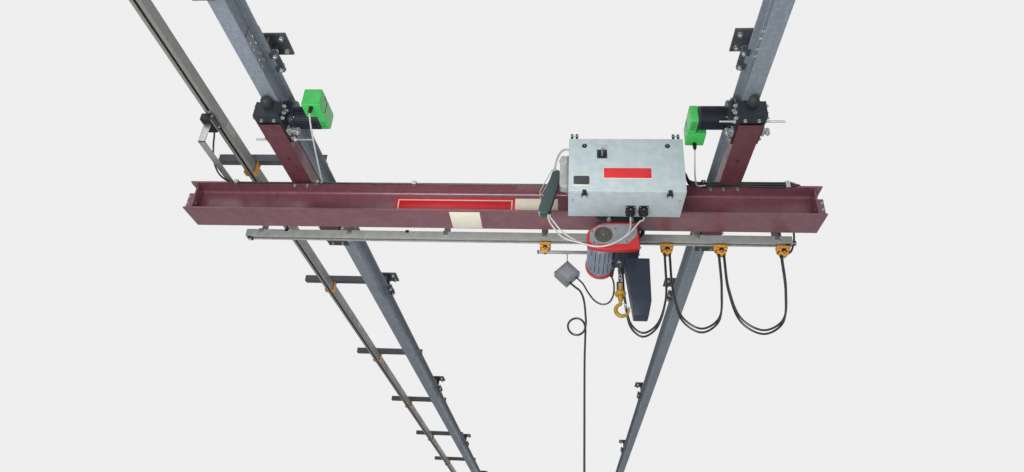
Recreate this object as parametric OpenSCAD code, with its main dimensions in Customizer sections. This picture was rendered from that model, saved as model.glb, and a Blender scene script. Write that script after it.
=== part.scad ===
// Single-girder suspension crane: two runway beams on hangers, a travelling girder with its two
// end carriages and drives, a control cabinet, a low trolley with a chain hoist, a cable festoon
// on a C rail, a pendant and a conductor rail with its collector.
// X runs along the girder, Y along the runway, Z up. Sizes in millimetres.
// The origin is the middle of the top face of the first hanger on the left beam.

/* [Runway] */
// Distance between the middles of the two runway beams
span = 2500; // [2200:10:3200]
// Distance between hangers along a beam
bay = 2800; // [2400:50:3200]
// Number of bays between hangers
bays = 4; // [3:1:6]
// Length of beam past the first hanger
near_overhang = 730; // [650:10:900]
// Length of beam past the last hanger
far_overhang = 420; // [350:10:700]
// Height of the runway beam
rail_h = 160; // [140:5:200]
// Width of the runway beam's flanges
rail_b = 82; // [74:2:90]
// Web thickness of the runway beam
rail_tw = 5; // [4:0.5:8]
// Flange thickness of the runway beam
rail_tf = 7.4; // [6:0.2:10]
// Root radius of the runway beam
rail_r = 9; // [6:1:12]
// Height of a hanger from the beam to its head plate's top
hanger_h = 130; // [110:5:200]
// Side of the hanger's head plate along X
head_w = 180; // [160:5:220]
// Side of the hanger's head plate along Y
head_d = 150; // [130:5:180]
// Thickness of the hanger's plates
hanger_t = 12; // [8:1:16]
// Bolt spacing of the head plate along X
head_bolts_x = 120; // [100:5:130]
// Bolt spacing of the head plate along Y
head_bolts_y = 90; // [80:5:100]
// Diameter of the head plate's holes
head_hole = 18; // [14:1:22]

/* [Girder] */
// Length of the girder
girder_l = 3700; // [3500:10:4200]
// Length of girder past the left runway beam's middle
left_overhang = 688; // [640:2:800]
// Height of the girder's section
girder_h = 190; // [170:5:220]
// Width of the girder's flanges
girder_b = 200; // [190:5:210]
// Web thickness of the girder
girder_tw = 6.5; // [5:0.5:10]
// Flange thickness of the girder
girder_tf = 10; // [8:0.5:12]
// Root radius of the girder
girder_r = 18; // [12:1:20]

/* [End carriages] */
// Distance of the girder behind the first hangers
bridge_y = 820; // [760:10:1200]
// Width of a carriage's tube
carriage_w = 120; // [110:2:130]
// Height of a carriage's tube
carriage_h = 80; // [70:2:90]
// Wall of a carriage's tube
carriage_wall = 5; // [4:0.5:8]
// Length of a carriage's tube
carriage_l = 1268; // [1200:4:1400]
// Gap between a carriage's tube and the runway beam
carriage_gap = 40; // [30:1:60]
// Distance between a carriage's two axles
wheelbase = 1120; // [1060:10:1160]
// Radius of a runway wheel's tread
wheel_r = 45; // [38:1:50]
// Width of a runway wheel's tread
wheel_w = 24; // [18:1:26]
// Radius of a runway wheel's axle
axle_r = 12; // [8:1:15]
// Thickness of a carriage's side plates
cheek_t = 10; // [8:1:12]
// Length of a buffer
buffer_l = 60; // [40:5:80]
// Radius of a buffer
buffer_r = 21; // [16:1:26]

/* [Drives] */
// Radius of a travel motor over its fins
motor_r = 62; // [50:1:68]
// Length of a travel motor
motor_l = 150; // [120:5:170]
// Thickness of a travel drive's gear housing
gear_t = 26; // [20:1:34]
// Height of the motor's axis below the wheel's axis
motor_drop = 62; // [50:1:70]

/* [Cabinet] */
// Width of the control cabinet
cabinet_w = 612; // [560:2:640]
// Height of the control cabinet
cabinet_h = 342; // [320:2:380]
// Depth of the control cabinet
cabinet_d = 254; // [200:2:280]
// Sheet thickness of the cabinet
cabinet_t = 2; // [1.5:0.5:3]
// Distance of the cabinet's middle to the right of mid span
cabinet_x = 645; // [600:5:660]
// Distance of the cabinet's underside below the girder's
cabinet_drop = 58; // [40:2:80]
// Gap between the girder's flange and the cabinet's back
cabinet_gap = 50; // [40:2:70]
// Thickness of the cabinet's door with its folded edge
door_t = 22; // [18:1:26]

/* [Trolley and hoist] */
// Distance of the trolley's middle to the right of mid span
trolley_x = 628; // [560:4:640]
// Distance between the trolley's two axles
trolley_base = 220; // [180:5:260]
// Radius of a trolley wheel's tread
trolley_wheel_r = 40; // [32:1:44]
// Thickness of the trolley's side plates
trolley_t = 8; // [6:1:12]
// Radius of the hoist's motor housing
hoist_r = 84; // [76:1:90]
// Length of the hoist from cover to cover
hoist_l = 357; // [330:1:380]
// Distance of the hoist's front cover from the girder's middle plane
hoist_front = 200; // [190:2:230]
// Drop of the hoist's axis below the girder's underside
hoist_drop = 212; // [205:1:230]
// Distance of the chain to the right of the hoist motor's axis
chain_x = 100; // [96:1:110]
// Wire diameter of the load chain
chain_d = 7; // [5:0.5:8]
// Inside length of a chain link
link_pitch = 21; // [15:0.5:24]
// Number of chain links
link_count = 14; // [10:1:14]
// Level of the hook block's top below the girder's underside
block_drop = 389; // [380:2:430]
// Height of the chain container
container_h = 340; // [260:5:360]

/* [Festoon and pendant] */
// Side of the festoon's C rail
c_rail = 48; // [40:1:52]
// Sheet thickness of the C rail
c_wall = 2; // [1.5:0.25:3]
// Slot of the C rail
c_slot = 18; // [14:1:22]
// Length of the C rail
c_rail_l = 3290; // [3200:10:3360]
// Distance of the C rail's middle behind the girder's middle plane
c_rail_y = 190; // [186:1:200]
// Level of the C rail's underside below the girder's
c_rail_drop = 33; // [25:1:40]
// Diameter of the festoon's cables
festoon_d = 12; // [10:0.5:14]
// Diameter of the pendant's cable
pendant_d = 12; // [10:0.5:14]

/* [Conductor rail] */
// Distance of the conductor rail outside the left runway beam
conductor_x = 445; // [420:5:480]
// Width of the conductor rail
conductor_w = 60; // [50:1:70]
// Height of the conductor rail
conductor_h = 74; // [60:1:80]
// Distance between the conductor rail's arms
arm_pitch = 1750; // [1500:10:1750]

/* [Hidden] */

$fn = 48;
EPS = 0.01;
// Running clearance of a shaft in its bore
running = 0.06;
// Gap between faces that roll or slide on each other
rolling = 0.3;

rail_z = girder_h + carriage_h + carriage_gap;
rail_top = rail_z + rail_h;
face_z = rail_top + hanger_h;
track_l = near_overhang + bays * bay + far_overhang;
track_near = -bridge_y - near_overhang;
track_far = track_near + track_l;
girder_x0 = -span / 2 - left_overhang;
girder_x1 = girder_x0 + girder_l;
bridge_sides = [-1, 1];

axle_y = wheelbase / 2;
axle_z = rail_z + rail_tf + wheel_r + rolling;
cheek_x = carriage_w / 2;
cheek_end = carriage_l / 2 + 66;
buffer_z = rail_z - buffer_r - 24;
buffer_tip = cheek_end + buffer_l + 4;

motor_z = axle_z - motor_drop;
motor_x0 = cheek_x + cheek_t + gear_t;
hood_t = 42;
terminal_w = 98;

cabinet_y1 = -girder_b / 2 - cabinet_gap;
cabinet_y0 = cabinet_y1 - cabinet_d;
cabinet_z0 = -cabinet_drop;
cabinet_z1 = cabinet_z0 + cabinet_h;
cabinet_x0 = cabinet_x - cabinet_w / 2;
cabinet_x1 = cabinet_x + cabinet_w / 2;
hinge_x = [84, cabinet_w - 84];
hinge_drop = 8;
hinge_pin = 3;
switch_h = cabinet_h - 104;

chain_bend = chain_d * 1.15;
chain_half_w = chain_bend + chain_d / 2;
trolley_axle_z = girder_tf + trolley_wheel_r + rolling;
trolley_cheek_y = girder_b / 2 + 12;
trolley_low = -92;
chain_bore = chain_half_w + 0.7;
hoist_x = trolley_x - chain_x;
hoist_z = -hoist_drop;
hoist_back = hoist_l - hoist_front;
case_x1 = hoist_x + 200;
case_low = hoist_z - hoist_r / 2 - 8;
block_z = -block_drop;

c_rail_z = -c_rail_drop;
festoon_gap = 8;
c_rail_x0 = -1650;
festoon_x = [922, 1234, 1589];
pendant_x = 205;
tow_z = -103;
junction = [337, c_rail_y, -248];

saddle_low = 78.5;

conductor_cx = -span / 2 - conductor_x;
conductor_z1 = rail_top - 8;
conductor_z0 = conductor_z1 - conductor_h;
collector_y = -470;
clip_x = [-1650, -1150, -565, 1060, 1586];

// Sweeps a tube of n sides along points p; side is a direction that the route never runs along.
function unit(v) = v / norm(v);
function heading(p, i) = unit(p[min(i + 1, len(p) - 1)] - p[max(i - 1, 0)]);
function ring(c, t, side, r, n) =
    let (u = unit(cross(t, side)), v = cross(t, u))
    [for (k = [0 : n - 1]) c + r * cos(360 * k / n) * u + r * sin(360 * k / n) * v];
module cord(p, d, side, n = 8) {
    m = len(p);
    rings = [for (i = [0 : m - 1]) each ring(p[i], heading(p, i), side, d / 2, n)];
    walls = [for (i = [0 : m - 2], k = [0 : n - 1])
        [i * n + k, (i + 1) * n + k, (i + 1) * n + (k + 1) % n, i * n + (k + 1) % n]];
    caps = [[for (k = [0 : n - 1]) k], [for (k = [n - 1 : -1 : 0]) (m - 1) * n + k]];
    polyhedron(points = rings, faces = concat(walls, caps));
}

// Routes of the cables, in the bridge's own frame
loop_1 = [[660, 190, -232], [668, 190, -400], [700, 190, -560], [760, 190, -606],
          [835, 190, -560], [896, 190, -400], [908, 190, -112]];
loop_2 = [[936, 190, -112], [942, 190, -330], [985, 190, -510], [1082, 190, -572],
          [1180, 190, -510], [1214, 190, -330], [1220, 190, -112]];
loop_3 = [[1248, 190, -112], [1254, 190, -330], [1306, 190, -510], [1416, 190, -572],
          [1526, 190, -510], [1568, 190, -330], [1575, 190, -112]];
pendant_run = [[356.2, 190, -302.6], [376.2, 190, -322.6], [418, 190, -352], [436, 190, -400],
               [440, 190, -520], [440, 190, -1400], [440, 190, -2560]];
pendant_feed = [[585.2, 144, -276.6], [598.4, 144, -291.6], [604, 156, -350], [590, 172, -410],
                [545, 184, -430], [480, 190, -380], [411.6, 190, -287.2], [391.6, 190, -267.2]];
drive_lead_right = [[1010, -410, 234.4], [1010, -410, 214], [1010, -392, 180], [1036, -230, 140],
                    [1072, -126, 167], [1112, -118.3, 175.4]];
drive_lead_left = [[-1010, -710, 234.4], [-1010, -710, 214], [-1008, -686, 176], [-1080, -250, 140],
                   [-1104, -150, 160], [-1124, -117.2, 175.2]];
collector_lead = [[-1706, -409.9, 337], [-1707, -385, 336], [-1724, -330, 290], [-1732, -270, 225],
                  [-1724, -200, 184], [-1708, -140, 178], [-1684, -112, 178], [-1664, -108, 178],
                  [240, -108, 178], [270, -150, 186], [300, -200, 190], [338.9, -200, 190]];
plug_x = [649, 719];
plug_y = -267;
socket_y = -265;
cabinet_lead = [[674, -231, -110.3], [674, -232, -128], [668, -246, -190], [651, -255, -230],
                [622, -260, -258], [564, -265, -298], [506, -267, -313], [441, -267, -305],
                [401, -266, -290], [342, -265, -252], [294, -265, -208], [258, -265, -156],
                [242.5, socket_y, -135], [242.5, socket_y, -120.3]];
cabinet_lead_far = [[745, -231, -110.3], [745, -232, -122], [736, -240, -134], [721, -247, -146],
                    [684, -256, -200], [655, -265, -237], [624, -270, -265], [564, -275, -303],
                    [506, -277, -318], [441, -277, -310], [401, -276, -295], [342, -275, -280],
                    [307, -272, -258], [275, -269, -218], [247, -266, -176], [232.5, socket_y, -138],
                    [232.5, socket_y, -120.3]];
girder_lead = [[951.1, -200, 190], [972, -200, 190], [998, -172, 187], [1022, -124, 180], [1046, -108, 178],
               [1602, -108, 178], [1622, -112, 192], [1640, -98, 200], [1656, -40, 200],
               [1668, 110, 198], [1672, 170, 150], [1668, 190, 20], [1616, 190, -88]];

// The bridge's own frame: X from mid span, Y from the girder's web, Z from its underside
module placed() {
    translate([span / 2, bridge_y, -face_z]) children();
}

module root_fillet(r) {
    difference() {
        square(r);
        translate([r, r]) circle(r = r);
    }
}

// Rolled I section, its underside on the X axis
module i_section(h, b, tw, tf, r) {
    translate([-b / 2, 0]) square([b, tf]);
    translate([-b / 2, h - tf]) square([b, tf]);
    translate([-tw / 2, 0]) square([tw, h]);
    for (m = [0, 1]) mirror([m, 0]) {
        translate([tw / 2, tf]) root_fillet(r);
        translate([tw / 2, h - tf]) mirror([0, 1]) root_fillet(r);
    }
}

// Extrudes an XZ outline from y0 to y1
module along_y(y0, y1) {
    translate([0, y1, 0]) rotate([90, 0, 0]) linear_extrude(y1 - y0) children();
}

// Extrudes a YZ outline from x0 to x1
module along_x(x0, x1) {
    translate([x0, 0, 0]) rotate([90, 0, 90]) linear_extrude(x1 - x0) children();
}

module rod_x(r, x0, x1) {
    translate([x0, 0, 0]) rotate([0, 90, 0]) cylinder(r = r, h = x1 - x0);
}

module rod_y(r, y0, y1) {
    translate([0, y1, 0]) rotate([90, 0, 0]) cylinder(r = r, h = y1 - y0);
}

module hexagon_x(across, x0, x1) {
    translate([x0, 0, 0]) rotate([0, 90, 0]) cylinder(d = across / cos(30), h = x1 - x0, $fn = 6);
}

module track(side) {
    color("lightslategray")
    translate([side * span / 2, 0, rail_z]) along_y(track_near, track_far)
        i_section(rail_h, rail_b, rail_tw, rail_tf, rail_r);
}

// One claw that grips the beam's top flange from below
module flange_claw() {
    translate([rail_b / 2 - 12, -18, -rail_tf - 10]) cube([40, 36, 10]);
    translate([rail_b / 2 + 1, -18, -rail_tf - EPS]) cube([27, 36, rail_tf + 2 * EPS]);
}

module hanger() {
    foot_w = rail_b + 56;
    difference() {
        translate([-head_w / 2, -head_d / 2, hanger_h - hanger_t]) cube([head_w, head_d, hanger_t]);
        for (sx = [-1, 1], sy = [-1, 1])
            translate([sx * head_bolts_x / 2, sy * head_bolts_y / 2, hanger_h - hanger_t - 1])
                cylinder(d = head_hole, h = hanger_t + 2);
    }
    translate([-foot_w / 2, -head_d / 2, 0]) cube([foot_w, head_d, hanger_t]);
    translate([-hanger_t / 2, -head_d / 2 + 10, hanger_t - EPS])
        cube([hanger_t, head_d - 20, hanger_h - 2 * hanger_t + 2 * EPS]);
    translate([-head_bolts_x / 4, -hanger_t / 2, hanger_t - EPS])
        cube([head_bolts_x / 2, hanger_t, hanger_h - 2 * hanger_t + 2 * EPS]);
    for (sx = [0, 1], sy = [-1, 1])
        mirror([sx, 0, 0]) translate([0, sy * (head_d / 2 - 26), 0]) flange_claw();
}

module track_hangers(side) {
    color("dimgray")
    for (i = [0 : bays])
        translate([side * span / 2, i * bay - bridge_y, rail_top]) hanger();
}

// End stops: a plate under each beam end with a rib, clamped to the lower flange
module track_stop() {
    translate([-50, 0, -82]) cube([100, 10, 82]);
    translate([-6, 10 - EPS, -72]) cube([12, 66, 72]);
    translate([-50, 0, -8]) cube([100, 80, 8]);
    for (m = [0, 1]) mirror([m, 0, 0]) {
        translate([rail_b / 2 + 1, 10, -EPS]) cube([12, 60, rail_tf + 10]);
        translate([rail_b / 2 - 12, 10, rail_tf]) cube([25, 60, 10]);
    }
}

module track_stops() {
    color("dimgray")
    for (sx = bridge_sides) {
        translate([sx * span / 2, track_far - 110, rail_z]) track_stop();
        translate([sx * span / 2, track_near + 110, rail_z]) mirror([0, 1, 0]) track_stop();
    }
}

// Enclosed rail with a slot along its underside
module conductor_section() {
    w = 3;
    difference() {
        union() {
            translate([-conductor_w / 2 + 6, 0]) square([conductor_w - 12, conductor_h]);
            translate([-conductor_w / 2, 6]) square([conductor_w, conductor_h - 18]);
            for (m = [0, 1]) mirror([m, 0]) translate([conductor_w / 2 - 6, 6]) circle(r = 6);
        }
        translate([-conductor_w / 2 + 6 + w, w]) square([conductor_w - 12 - 2 * w, conductor_h - 2 * w]);
        translate([-conductor_w / 2 + w, 6 + w]) square([conductor_w - 2 * w, conductor_h - 18 - 2 * w]);
        translate([-8, -1]) square([16, 2 + w]);
    }
}

module conductor_rail() {
    color("silver")
    translate([conductor_cx, 0, conductor_z0]) along_y(track_near + 20, track_far - 20)
        conductor_section();
}

// Angle arms on the beam's top flange, with a clip that carries the conductor rail
module conductor_arm() {
    arm_x0 = conductor_cx - 230;
    arm_x1 = -span / 2 + rail_b / 2;
    translate([arm_x0, -25, rail_top]) cube([arm_x1 - arm_x0, 50, 5]);
    translate([arm_x0, -25, rail_top]) cube([arm_x1 - arm_x0, 5, 50]);
    for (m = [-1, 1])
        translate([conductor_cx + m * (conductor_w / 2 + 2) - 2, -15, conductor_z0 + 18])
            cube([4, 30, rail_top - conductor_z0 - 18 + EPS]);
    translate([conductor_cx - conductor_w / 2 - 2, -15, conductor_z1])
        cube([conductor_w + 4, 30, rail_top - conductor_z1 + EPS]);
}

module conductor_arms() {
    color("goldenrod")
    for (y = [100 : arm_pitch : track_far - 300]) translate([0, y, 0]) conductor_arm();
}

module girder() {
    color("firebrick") {
        along_x(girder_x0, girder_x1) i_section(girder_h, girder_b, girder_tw, girder_tf, girder_r);
        for (x = [girder_x0 + 20, girder_x1 - 32], m = [0, 1]) mirror([0, m, 0])
            translate([x, girder_tw / 2, girder_tf]) cube([12, girder_b / 2 - 30, 78]);
    }
}

module carriage(side) {
    color("firebrick")
    translate([side * span / 2, 0, girder_h])
    difference() {
        translate([-carriage_w / 2, -carriage_l / 2, 0]) cube([carriage_w, carriage_l, carriage_h]);
        translate([-carriage_w / 2 + carriage_wall, -carriage_l / 2 - 1, carriage_wall])
            cube([carriage_w - 2 * carriage_wall, carriage_l + 2, carriage_h - 2 * carriage_wall]);
        for (s = bridge_sides) translate([0, s * 330, -1]) cylinder(r = 7, h = carriage_wall + 2);
    }
}

// Outline of a side plate: up the tube's side and round the wheel's axle
module cheek_outline(end_y) {
    difference() {
        union() {
            translate([axle_y - 90, girder_h + 10]) square([end_y - axle_y + 90, 94]);
            translate([axle_y - 56, girder_h + 60]) square([112, axle_z - girder_h - 60]);
            translate([axle_y, axle_z]) circle(r = 56);
        }
        translate([axle_y, axle_z]) circle(r = axle_r + running);
    }
}

module end_cheeks() {
    for (m = [0, 1]) mirror([m, 0, 0])
        along_x(cheek_x, cheek_x + cheek_t) cheek_outline(cheek_end);
    translate([-cheek_x - EPS, cheek_end - 8, girder_h + 20])
        cube([2 * cheek_x + 2 * EPS, 8, 74]);
    for (y = [axle_y - 70, cheek_end - 40], z = [girder_h + 28, girder_h + 62], m = [0, 1])
        mirror([m, 0, 0]) translate([0, y, z]) hexagon_x(19, cheek_x + cheek_t, cheek_x + cheek_t + 9);
}

module carriage_cheeks() {
    color("dimgray")
    for (sx = bridge_sides, sy = [0, 1])
        translate([sx * span / 2, 0, 0]) mirror([0, sy, 0]) end_cheeks();
}

module carriage_buffers() {
    color("black")
    for (sx = bridge_sides, sy = [0, 1])
        translate([sx * span / 2, 0, buffer_z]) mirror([0, sy, 0]) {
            rod_y(buffer_r * 0.7, cheek_end, cheek_end + 6);
            translate([0, cheek_end + 5, 0]) rotate([-90, 0, 0])
                rotate_extrude() polygon([[0, 0], [buffer_r, 0], [buffer_r, 12], [buffer_r - 3, 22],
                    [buffer_r - 3, buffer_l - 12], [buffer_r - 8, buffer_l - 4], [buffer_r - 14, buffer_l - 1],
                    [0, buffer_l - 1]]);
        }
}

// Threaded rods across each carriage, with nuts against the tube's sides
module gauge_rods() {
    color("gainsboro")
    for (r = [[-span / 2, -459], [span / 2, -618]])
        translate([r[0], r[1], girder_h + carriage_h / 2]) {
            rod_x(8, -150, -cheek_x - cheek_t);
            rod_x(8, cheek_x + cheek_t, 176);
            for (m = [0, 1]) mirror([m, 0, 0])
                hexagon_x(24, cheek_x + cheek_t, cheek_x + cheek_t + 13);
        }
}

// Zinc clamp castings on the near ends of the carriages' side plates
module clamp_casting() {
    translate([0, -22, -14]) cube([14, 44, 30]);
    translate([14 - EPS, -8, -8]) cube([28, 16, 16]);
    translate([30, 0, 0]) {
        translate([0, 0, -16]) cylinder(r = 11, h = 34);
        translate([0, 0, -24]) cylinder(r = 5, h = 9);
    }
}

module clamp_castings() {
    color("gainsboro") for (c = [[-span / 2, 0], [span / 2, 0], [span / 2, 1]])
        translate([c[0], -axle_y, girder_h + 24]) mirror([c[1], 0, 0])
            translate([cheek_x + cheek_t, 0, 0]) clamp_casting();
}

module wheel(inner, tread, lip, r, lip_r, shaft_end) {
    rotate([0, 90, 0]) rotate_extrude() polygon([
        [0, inner], [r - 3, inner], [r, inner + 3], [r, inner + tread], [lip_r, inner + tread + 2],
        [lip_r, inner + tread + lip], [r * 0.5, inner + tread + lip],
        [axle_r, inner + tread + lip + 3], [axle_r, shaft_end], [0, shaft_end]]);
}

module runway_wheels(y) {
    color("slategray")
    for (sx = bridge_sides, m = [0, 1])
        translate([sx * span / 2, y, axle_z]) mirror([m, 0, 0])
            wheel(rail_b / 2 - wheel_w + 2, wheel_w, 7, wheel_r, wheel_r + 8, cheek_x + cheek_t - 0.5);
}

// Travel drive of one carriage: gear housing, finned motor
module drive_body() {
    along_x(cheek_x + cheek_t, motor_x0) difference() {
        union() {
            translate([0, axle_z]) circle(r = 44);
            translate([0, motor_z]) circle(r = motor_r);
            translate([-44, motor_z]) square([88, motor_drop]);
        }
        translate([0, axle_z]) circle(r = axle_r + 3);
    }
    translate([0, 0, motor_z]) {
        rod_x(motor_r - 9, motor_x0 - EPS, motor_x0 + motor_l);
        rod_x(motor_r, motor_x0 - EPS, motor_x0 + 10);
        rod_x(motor_r, motor_x0 + motor_l - 10, motor_x0 + motor_l);
        for (a = [0 : 15 : 345]) rotate([a, 0, 0])
            translate([motor_x0, -1.5, 0]) cube([motor_l, 3, motor_r]);
    }
}

// Hood on the end of a travel motor, in one with the terminal box beside the motor
module drive_hood() {
    x0 = motor_x0 + motor_l;
    x1 = x0 + hood_t;
    beside = motor_r + 4;
    translate([0, 0, motor_z]) {
        along_x(x0, x1) hull() for (y = [-24, beside], z = [-32, 36]) translate([y, z]) circle(r = 20);
        translate([x1 - terminal_w, beside, -52]) cube([terminal_w, 104, 108]);
        translate([x0 - 6, beside + 84, -66]) cylinder(r = 9, h = 14 + EPS);
    }
}

module at_drive(side) {
    translate([side * span / 2, -axle_y, 0]) rotate([0, 0, side > 0 ? 180 : 0]) children();
}

module at_hood(side) {
    at_drive(side) mirror([0, 1, 0]) children();
}

module drive(side) {
    color("dimgray") at_drive(side) drive_body();
}

module drive_cover(side) {
    color("limegreen") at_hood(side) drive_hood();
}

// Cabinet: an open box behind its door
module cabinet_shell() {
    depth = cabinet_d - door_t - rolling;
    color("whitesmoke")
    translate([cabinet_x0, cabinet_y1 - depth, cabinet_z0]) {
        difference() {
            cube([cabinet_w, depth, cabinet_h]);
            translate([cabinet_t, -1, cabinet_t])
                cube([cabinet_w - 2 * cabinet_t, depth - cabinet_t + 1, cabinet_h - 2 * cabinet_t]);
        }
        translate([30, depth - cabinet_t - 12, 30]) cube([cabinet_w - 60, 12 + EPS, cabinet_h - 60]);
        for (x = hinge_x) translate([x, 0, 0]) {
            translate([-28, 0, -hinge_drop]) rod_x(hinge_pin, 0, 56);
            for (e = [-28, 20]) translate([e, 0, -hinge_drop - 4]) {
                cube([8, 20, hinge_drop + 4 + EPS]);
                translate([0, -4, 0]) cube([8, 5, 8]);
            }
        }
    }
}

module cabinet_door() {
    color("whitesmoke")
    translate([cabinet_x0, cabinet_y0, cabinet_z0]) {
        difference() {
            cube([cabinet_w, door_t, cabinet_h]);
            translate([cabinet_t, cabinet_t, cabinet_t])
                cube([cabinet_w - 2 * cabinet_t, door_t, cabinet_h - 2 * cabinet_t]);
            translate([178, -1, switch_h]) rotate([-90, 0, 0]) cylinder(r = 11, h = 4);
        }
        for (x = hinge_x) {
            translate([x, 0, cabinet_h - 49]) rod_y(12, -5, EPS);
            translate([x, door_t + rolling, -hinge_drop]) difference() {
                union() {
                    rod_x(hinge_pin + 3, -19, 19);
                    translate([-19, -door_t, 0]) cube([38, door_t - 1, hinge_drop + EPS]);
                }
                rod_x(hinge_pin + running, -20, 20);
            }
        }
    }
}

module main_switch() {
    color("black")
    translate([cabinet_x0 + 178, cabinet_y0, cabinet_z0 + switch_h]) {
        rod_y(24, -12, -rolling);
        rod_y(9, -1, 8);
        translate([-5, -32, -22]) cube([10, 20 + EPS, 44]);
    }
}

module cabinet_brackets() {
    color("dimgray")
    for (x = [cabinet_x0 + 70, cabinet_x1 - 70]) translate([x - 25, 0, girder_h]) {
        translate([0, cabinet_y1, 0]) cube([50, -cabinet_y1 - 40, 6]);
        translate([0, cabinet_y1, 0]) cube([50, 6, 70]);
    }
}

// Two plugs on the cabinet's underside, and a socket on its left side with a slanted hood
module cabinet_plugs() {
    color("black") {
        for (x = plug_x) translate([x, plug_y, cabinet_z0 - 52]) cube([50, 72, 52]);
        translate([cabinet_x0 - 50, socket_y - 35, 35]) cube([50, 70, 215]);
        along_y(socket_y - 25, socket_y + 25) polygon([[261, 157], [298, 140], [289.5, 59], [263, -47],
            [233, -106], [208, -129], [182, -104], [191, -14]]);
        translate([237.5, socket_y, -120]) cylinder(r = 11, h = 30);
    }
}

// C rail with its slot downwards
module c_section() {
    difference() {
        translate([-c_rail / 2, 0]) square([c_rail, c_rail]);
        translate([-c_rail / 2 + c_wall, c_wall]) square([c_rail - 2 * c_wall, c_rail - 2 * c_wall]);
        translate([-c_slot / 2, -1]) square([c_slot, c_wall + 2]);
    }
}

module festoon_rail() {
    color("silver")
    translate([0, c_rail_y, c_rail_z]) along_x(c_rail_x0, c_rail_x0 + c_rail_l) c_section();
}

module festoon_brackets() {
    color("silver")
    for (x = [-1560, -1000, -400, 200, 1100, 1560])
        translate([x, 0, 0]) {
            translate([-20, 40, girder_h]) cube([40, c_rail_y - 20, 5]);
            translate([-20, c_rail_y + 15, c_rail_z + c_rail])
                cube([40, 5, girder_h - c_rail_z - c_rail + EPS]);
            translate([-20, c_rail_y - c_rail / 2, c_rail_z + c_rail]) cube([40, c_rail, 4]);
        }
}

// Cable carrier: rollers inside the rail, a neck through the slot and a saddle for the cables
module cable_carrier(body_l) {
    roller_r = 10;
    for (x = [-body_l / 4, body_l / 4], m = [0, 1])
        translate([x, 0, c_wall + roller_r + rolling]) mirror([0, m, 0]) {
            rod_y(roller_r, c_slot / 2 + 1, c_slot / 2 + 10);
            rod_y(3, 0, c_slot / 2 + 2);
        }
    translate([-body_l / 2, -3, -30]) cube([body_l, 6, 50]);
    translate([-body_l / 2, -20, -46]) cube([body_l, 40, 24]);
    translate([-body_l / 2 + 4, -18, -saddle_low]) cube([body_l - 8, 36, saddle_low - 46 + EPS]);
}

module festoon_trolley(i) {
    color("gold") translate([festoon_x[i], c_rail_y, c_rail_z]) cable_carrier(52);
}

// Clips that hold the cables against the front edge of the girder's top flange
module cable_clips() {
    color("gainsboro") for (x = clip_x) translate([x, -girder_b / 2, girder_h]) {
        translate([-12, -18, 0]) cube([24, 50, 3]);
        translate([-12, -18, -22]) cube([24, 3, 22 + EPS]);
        translate([-12, -18, -22]) cube([24, 17.7, 3]);
    }
}

module festoon_anchor() {
    color("gold") translate([festoon_x[2], c_rail_y, c_rail_z]) cable_carrier(52);
}

module collector() {
    color("dimgray") translate([conductor_cx, collector_y, conductor_z0]) {
        translate([-12, -70, 8]) cube([24, 140, 30]);
        translate([-5, -40, -30]) cube([10, 80, 40]);
        translate([-28, -60, -74]) cube([56, 120, 46]);
    }
    color("silver") translate([conductor_cx, 0, girder_h]) {
        translate([-20, collector_y - 20, 0]) cube([40, 90 - collector_y, 6]);
        translate([-20, collector_y - 20, 0]) cube([40, 6, conductor_z0 - girder_h - 40]);
    }
}

module trolley_outline() {
    difference() {
        union() {
            translate([-trolley_base / 2 - 50, -10]) square([trolley_base + 100, trolley_axle_z + 54]);
            polygon([[-trolley_base / 2 - 50, -10 + EPS], [trolley_base / 2 + 50, -10 + EPS],
                [90, trolley_low], [-90, trolley_low]]);
        }
        for (s = [-1, 1]) translate([s * trolley_base / 2, trolley_axle_z])
            circle(r = axle_r + running);
    }
}

module trolley_frame() {
    color("black") translate([trolley_x, 0, 0]) {
        for (m = [0, 1]) mirror([0, m, 0])
            along_y(trolley_cheek_y, trolley_cheek_y + trolley_t) trolley_outline();
        for (x = [-62, 62]) translate([x, 0, -62])
            rod_y(13, -trolley_cheek_y - EPS, trolley_cheek_y + EPS);
        translate([-80, -30, -80]) cube([160, 60, 12]);
        for (x = [-62, 62]) translate([x - 20, -30, -80]) cube([40, 60, 26]);
    }
}

module trolley_wheels(side) {
    color("slategray")
    for (m = [0, 1])
        translate([trolley_x + side * trolley_base / 2, 0, trolley_axle_z]) mirror([0, m, 0])
            rotate([0, 0, 90]) wheel(girder_b / 2 + 1.5 - 34, 34, 7, trolley_wheel_r, trolley_wheel_r + 7,
                trolley_cheek_y + trolley_t + 6);
}

module hoist_motor() {
    color("silver") translate([hoist_x, 0, hoist_z]) {
        rod_y(hoist_r - 10, -hoist_front + 36, hoist_back - 26);
        for (a = [-48 : 12 : 228]) rotate([0, a + 90, 0])
            translate([0, -hoist_front + 40, -1.5]) cube([hoist_r - 3, hoist_l - 70, 3]);
    }
}

module hoist_gear_case() {
    color("black") difference() {
        union() {
            translate([hoist_x + hoist_r - 20, -hoist_front + 36, case_low])
                cube([case_x1 - hoist_x - hoist_r + 20, 240, -case_low - 132]);
            translate([trolley_x - 26, -34, -140]) cube([52, 68, 60]);
            translate([trolley_x + 4, 70, -214]) cube([56, 136, 8]);
            translate([trolley_x + 10, 174, -231.5]) cube([44, 32, 20]);
        }
        translate([trolley_x, 0, -400]) cylinder(r = chain_bore, h = 400 - 84);
        translate([hoist_x, 0, hoist_z]) rod_y(hoist_r - 10 + EPS, -hoist_front, hoist_back);
    }
}

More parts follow.
